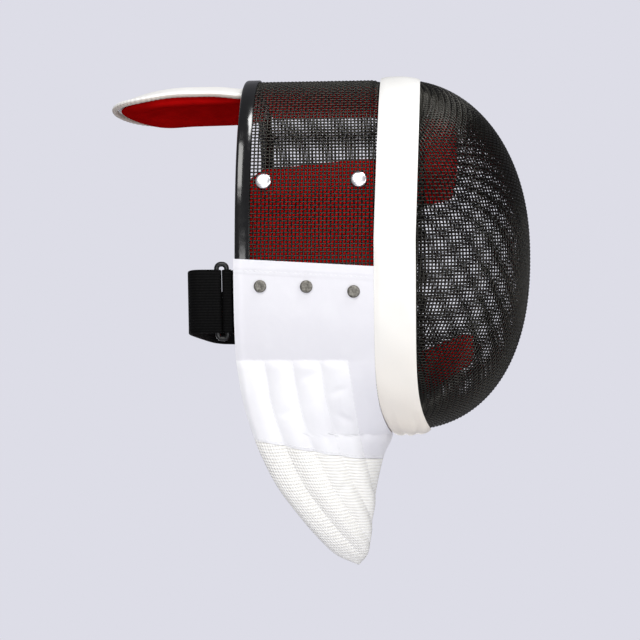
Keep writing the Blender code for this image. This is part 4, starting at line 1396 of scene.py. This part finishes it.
def loop_points(side):
    middle_x = LOOP_FRONT_X - LOOP_SPAN / 2
    reach_x = LOOP_SPAN / 2 - LOOP_CORNER
    reach_z = (LOOP_HEIGHT - LOOP_BAR) / 2 - LOOP_CORNER
    corners = []
    for corner, (way_x, way_z) in enumerate([(1, 1), (-1, 1), (-1, -1), (1, -1)]):
        turn = (corner + np.linspace(0.0, 1.0, 9)) * math.pi / 2
        x = middle_x + way_x * reach_x + LOOP_CORNER * np.cos(turn)
        z = STRAP_MIDDLE + way_z * reach_z + LOOP_CORNER * np.sin(turn)
        corners.append(leaning(x, np.full(9, LOOP_Y), z))
    path = np.concatenate(corners)
    path[:, 1] *= side
    return path


# Fasteners

def turned_rings(profile, foot, normal):
    """A turned head: rings of each (radius, height) about the normal at its foot."""
    way = unit(np.cross(normal, (1.0, 0.0, 0.0)))
    other = np.cross(normal, way)
    turn = full_turn(32)[:, None]
    circle = np.cos(turn) * way + np.sin(turn) * other
    return np.stack([foot + normal * height + circle * radius for radius, height in profile])


def fastener(name, profile, x, z, out, side, paint, slot, node_name):
    angle = angle_at(z)
    foot = wall(x, angle, out)
    normal = unit(wall(x, angle, out + 0.01) - foot)
    flip = np.array([1.0, side, 1.0])
    return lofted(name, turned_rings(profile, foot * flip, normal * flip), paint, slot, node_name, sharp=60)


def dome_profile(radius, height):
    """A press stud cap: a thin rolled lip, then a smooth dome."""
    lip = height * 0.28
    turn = np.linspace(0.02, 1.0, 14) * math.pi / 2
    dome = [(radius * 0.97 * math.sin(t), lip + (height - lip) * math.cos(t) ** 0.6) for t in turn]
    return dome + [(radius, lip * 0.8), (radius, lip * 0.2), (radius * 0.95, 0.0)]


def cap_profile(radius, height):
    """A flat rivet with a soft shoulder and a slightly sunk middle."""
    return [(radius * 0.02, height * 0.86), (radius * 0.45, height * 0.88), (radius * 0.62, height),
            (radius * 0.84, height * 0.97), (radius * 0.95, height * 0.78), (radius, height * 0.45),
            (radius, 0.0)]


def bib_out(x):
    forward = (x - BIB_BACK_X) / (BAND_SIDE_X - BAND_WIDTH / 2 - BIB_BACK_X)
    return BIB_OUT - (BIB_OUT - BIB_FRONT_OUT) * forward ** 2


def fasteners():
    for side, hand in ((-1, "right"), (1, "left")):
        for place, (x, z) in SNAPS.items():
            fastener(f"stud_{place}_{hand}", dome_profile(SNAP_RADIUS, SNAP_HEIGHT), x, z, GAP, side,
                     CHROME_PAINT, "chrome_stud", f"snap_{place}_{hand}")
        for place, (x, z) in RIVETS.items():
            fastener(f"rivet_head_{place}_{hand}", cap_profile(RIVET_RADIUS, RIVET_HEIGHT), x, z,
                     bib_out(x) + GAP, side, RIVET_PAINT, "rivet", f"rivet_{place}_{hand}")


# Stage

def area_light(name, place, size, watts, colour):
    data = bpy.data.lights.new(name, "AREA")
    data.shape = "RECTANGLE"
    data.size, data.size_y = size
    data.energy = watts
    data.color = colour
    light = bpy.data.objects.new(name, data)
    light.location = place
    light.rotation_mode = "QUATERNION"
    light.rotation_quaternion = (Vector(AIM) - Vector(place)).to_track_quat("-Z", "Y")
    bpy.context.scene.collection.objects.link(light)


def surroundings():
    """The camera sees the pale background; surfaces get a share of its light and reflect less of it."""
    world = bpy.data.worlds.new("pale studio")
    bpy.context.scene.world = world
    world.use_nodes = True
    back = world.node_tree.nodes["Background"]
    back.inputs["Color"].default_value = (*BACKGROUND, 1.0)
    around = node(world, "ShaderNodeBackground", Color=(*BACKGROUND, 1.0), Strength=AMBIENT)
    seen = node(world, "ShaderNodeLightPath")
    mirrored = maths(world, "MULTIPLY", seen.outputs["Is Glossy Ray"], MIRRORED)
    choice = node(world, "ShaderNodeMixShader")
    link(world, maths(world, "MAXIMUM", seen.outputs["Is Camera Ray"], mirrored), choice.inputs["Fac"])
    link(world, around.outputs["Background"], choice.inputs[1])
    link(world, back.outputs["Background"], choice.inputs[2])
    link(world, choice.outputs["Shader"], world.node_tree.nodes["World Output"].inputs["Surface"])


def stage():
    surroundings()
    turn = np.linspace(0.0, 2 * math.pi, FLOOR_SIDES, endpoint=False)
    level = np.full(FLOOR_SIDES, FLOOR_Z)
    rings = np.stack([np.stack([np.cos(turn) * radius, np.sin(turn) * radius, level], -1)
                      for radius in FLOOR_RINGS])
    paint = material("pale floor", (0.70, 0.70, 0.76), 0.7)
    where = coordinates(paint, False)
    coloured(paint, noise(paint, where, 2.0), [(0.3, (0.69, 0.69, 0.75)), (0.7, (0.72, 0.72, 0.785))])
    floor = mesh_object("floor", rings, grid_faces(len(FLOOR_RINGS), FLOOR_SIDES, False, True), paint)
    for light in LIGHTS:
        area_light(*light)
    camera = bpy.data.objects.new("camera", bpy.data.cameras.new("camera"))
    camera.data.lens = LENS
    camera.data.sensor_width = SENSOR
    camera.data.clip_start = 0.01
    way = Vector((math.sin(AZIMUTH) * math.cos(ELEVATION), -math.cos(AZIMUTH) * math.cos(ELEVATION),
                  math.sin(ELEVATION)))
    camera.location = Vector(AIM) + way * DISTANCE
    camera.rotation_mode = "QUATERNION"
    camera.rotation_quaternion = (-way).to_track_quat("-Z", "Y")
    bpy.context.scene.collection.objects.link(camera)
    bpy.context.scene.camera = camera
    bpy.context.scene.view_settings.view_transform = "Standard"


def build():
    spots, normals, valid = side_net()
    placed(woven("side_hoop_wires", spots, normals, valid, 1, CROSSING), "wire", "side_mesh")
    placed(woven("side_long_wires", spots, normals, valid, 0, -CROSSING), "wire")
    spots, normals, valid = face_net()
    placed(woven("face_upright_wires", spots, normals, valid, 0, CROSSING), "wire", "front_mesh")
    placed(woven("face_level_wires", spots, normals, valid, 1, -CROSSING), "wire")
    seam_band()
    rear_rim()
    white_bib()
    lame_bib()
    lining()
    bib_stitches()
    pad_piece("crown_padding", crown_pad, "crown_pad")
    pad_piece("cheek_padding_right", cheek_place(-1), "cheek_pad_right")
    pad_piece("cheek_padding_left", cheek_place(1), "cheek_pad_left")
    brow_z = BROW_TOP - BROW_HEIGHT / 2
    brow_side = (BROW_SIDE_X, brow_z, BROW_HEIGHT)
    brow = bow_place(brow_side, (BROW_FRONT_X, brow_z, BROW_HEIGHT), BROW_BOW, BROW_PAD)
    pad_piece("forehead_padding", brow, "forehead_pad", stations=150)
    chin_side = (CHIN_SIDE_X, CHIN_SIDE_Z, CHIN_SIDE_HEIGHT)
    chin_front = (CHIN_FRONT_X, CHIN_FRONT_Z, CHIN_FRONT_HEIGHT)
    pad_piece("chin_padding", bow_place(chin_side, chin_front, CHIN_BOW, CHIN_PAD), "chin_pad", stations=150)
    tongue_plate()
    pad_piece("tongue_padding", tongue_pad_place, "tongue_pad", TONGUE_PAINT, outline=7.0, roundness=2.0)
    tongue_binding()
    strap_pieces()
    fasteners()
    stage()


build()
